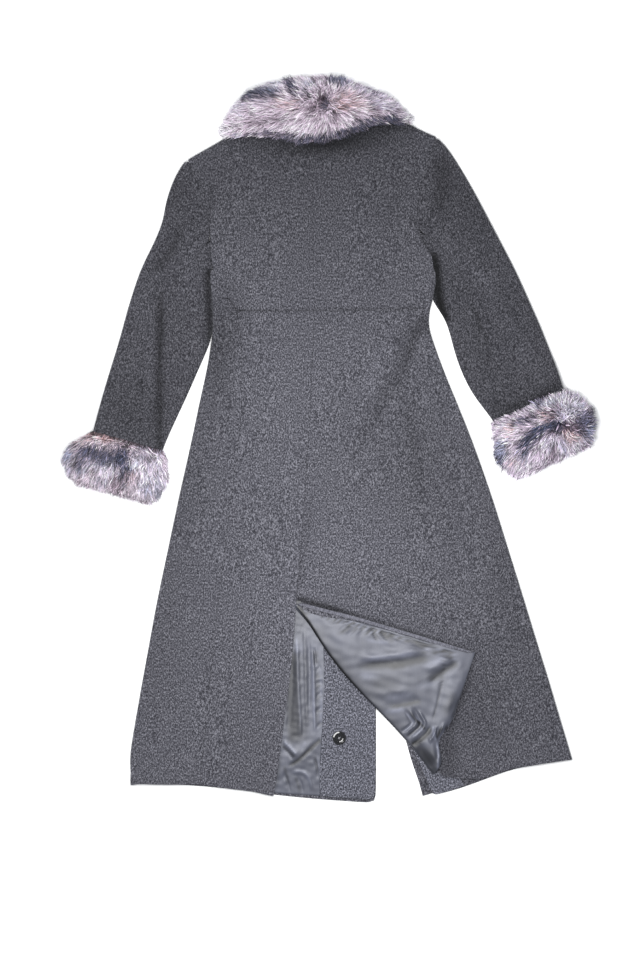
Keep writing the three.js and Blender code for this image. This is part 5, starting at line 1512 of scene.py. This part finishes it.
# %% Spare button
low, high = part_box("button")
BUTTON_MIDDLE = (low + high) / 2
BUTTON_RADIUS = (high.x - low.x) / 2
BUTTON_THICK = high.z - low.z
HOLE_RING = 2.5 * MM
HOLE_RADIUS = 0.9 * MM
HOLE_TURN = 35
DRILL_LENGTH = 12 * MM
RIM_WIDE = 3.2 * MM
RIM_SLOPE = 0.6 * MM
BUTTON_TILT = math.radians(6)
print("button:", BUTTON_THICK / MM, "mm thick")


def to_hole(k):
    """From the button's middle to one of its four holes."""
    turn = math.radians(HOLE_TURN + 90 * k)
    return Vector((HOLE_RING * math.cos(turn), HOLE_RING * math.sin(turn), 0))


def top_faces(piece, above):
    """Selects the faces that look up and lie above a height, for the next edit."""
    bpy.ops.object.mode_set(mode="EDIT")
    bpy.ops.mesh.select_mode(type="FACE")
    bpy.ops.mesh.select_all(action="DESELECT")
    bpy.ops.object.mode_set(mode="OBJECT")
    for face in piece.data.polygons:
        face.select = face.normal.z > 0.9 and face.center.z > above
    bpy.ops.object.mode_set(mode="EDIT")


bpy.ops.object.select_all(action="DESELECT")
bpy.ops.mesh.primitive_cylinder_add(
    vertices=64, radius=BUTTON_RADIUS, depth=BUTTON_THICK - RIM_SLOPE,
    location=BUTTON_MIDDLE - Vector((0, 0, RIM_SLOPE / 2)),
)
button = bpy.context.object
button.name = "spare_button"
bpy.ops.object.transform_apply(location=True)
top_faces(button, BUTTON_MIDDLE.z)
bpy.ops.mesh.inset(thickness=RIM_WIDE)
bpy.ops.transform.translate(value=(0, 0, RIM_SLOPE))
bpy.ops.mesh.inset(thickness=0.9 * MM)
bpy.ops.transform.translate(value=(0, 0, -1.5 * MM))
bpy.ops.mesh.inset(thickness=2.0 * MM)
bpy.ops.transform.translate(value=(0, 0, -0.5 * MM))
bpy.ops.object.mode_set(mode="OBJECT")
rim = button.modifiers.new("rounded rim", "BEVEL")
rim.width = 0.5 * MM
rim.segments = 4
rim.limit_method = "ANGLE"
rim.angle_limit = math.radians(20)
bpy.ops.object.modifier_apply(modifier=rim.name)
for k in range(4):
    hole_at = BUTTON_MIDDLE + to_hole(k)
    bpy.ops.object.select_all(action="DESELECT")
    bpy.ops.mesh.primitive_cylinder_add(
        vertices=20, radius=HOLE_RADIUS, depth=DRILL_LENGTH, location=hole_at
    )
    drill = bpy.context.object
    pick(button)
    cut = button.modifiers.new("drilled hole", "BOOLEAN")
    cut.object = drill
    bpy.ops.object.modifier_apply(modifier=cut.name)
    bpy.data.objects.remove(drill)
tilted = Matrix.Rotation(BUTTON_TILT, 4, "Y")
about_middle = Matrix.Translation(BUTTON_MIDDLE) @ tilted @ Matrix.Translation(-BUTTON_MIDDLE)
button.data.transform(about_middle)
pick(button)
bpy.ops.object.shade_smooth_by_angle(angle=math.radians(7))
button.data.materials.append(gloss.material)
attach(button, "root")
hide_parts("button")
show_size(button)

# %% [markdown]
# Two strands of thread cross between the holes. Each is a small arch, bent from a tube, that
# goes down into a hole at both ends.

# %% Button thread
THREAD_THICK = 0.55 * MM


def stitch(name, start, end, rise):
    """A short arch of thread from one hole to another."""
    bpy.ops.object.select_all(action="DESELECT")
    bpy.ops.curve.primitive_bezier_curve_add(location=(0, 0, 0))
    strand = bpy.context.object
    strand.name = name
    first, last = strand.data.splines[0].bezier_points
    lift = Vector((0, 0, rise))
    first.co, last.co = start, end
    first.handle_left, first.handle_right = start - lift, start + lift
    last.handle_left, last.handle_right = end + lift, end - lift
    strand.data.bevel_depth = THREAD_THICK / 2
    strand.data.use_fill_caps = True
    bpy.ops.object.convert(target="MESH")
    bpy.ops.object.shade_smooth()
    strand.data.materials.append(thread.material)
    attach(strand, "root")


dish = high.z - 2.0 * MM
for k in range(2):
    centre = Vector((BUTTON_MIDDLE.x, BUTTON_MIDDLE.y, dish - 0.5 * MM))
    rise = 1.4 * MM + k * 0.5 * MM
    stitch(f"button_thread_{k + 1}", centre - to_hole(k), centre + to_hole(k), rise)

# %% [markdown]
# Every cloth piece was once flat, and a maker needs to know how big it was cut. As each piece
# was made, its box and the area of one face of its cloth were printed, since none of the pieces
# is a plain rectangle.

# %% [markdown]
# Last, we count the triangles of every mesh that we made.

# %% Count the triangles
shown = [
    piece for piece in bpy.data.objects
    if piece.type == "MESH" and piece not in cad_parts.values()
]
print("triangles:", sum(len(face.vertices) - 2 for piece in shown for face in piece.data.polygons))
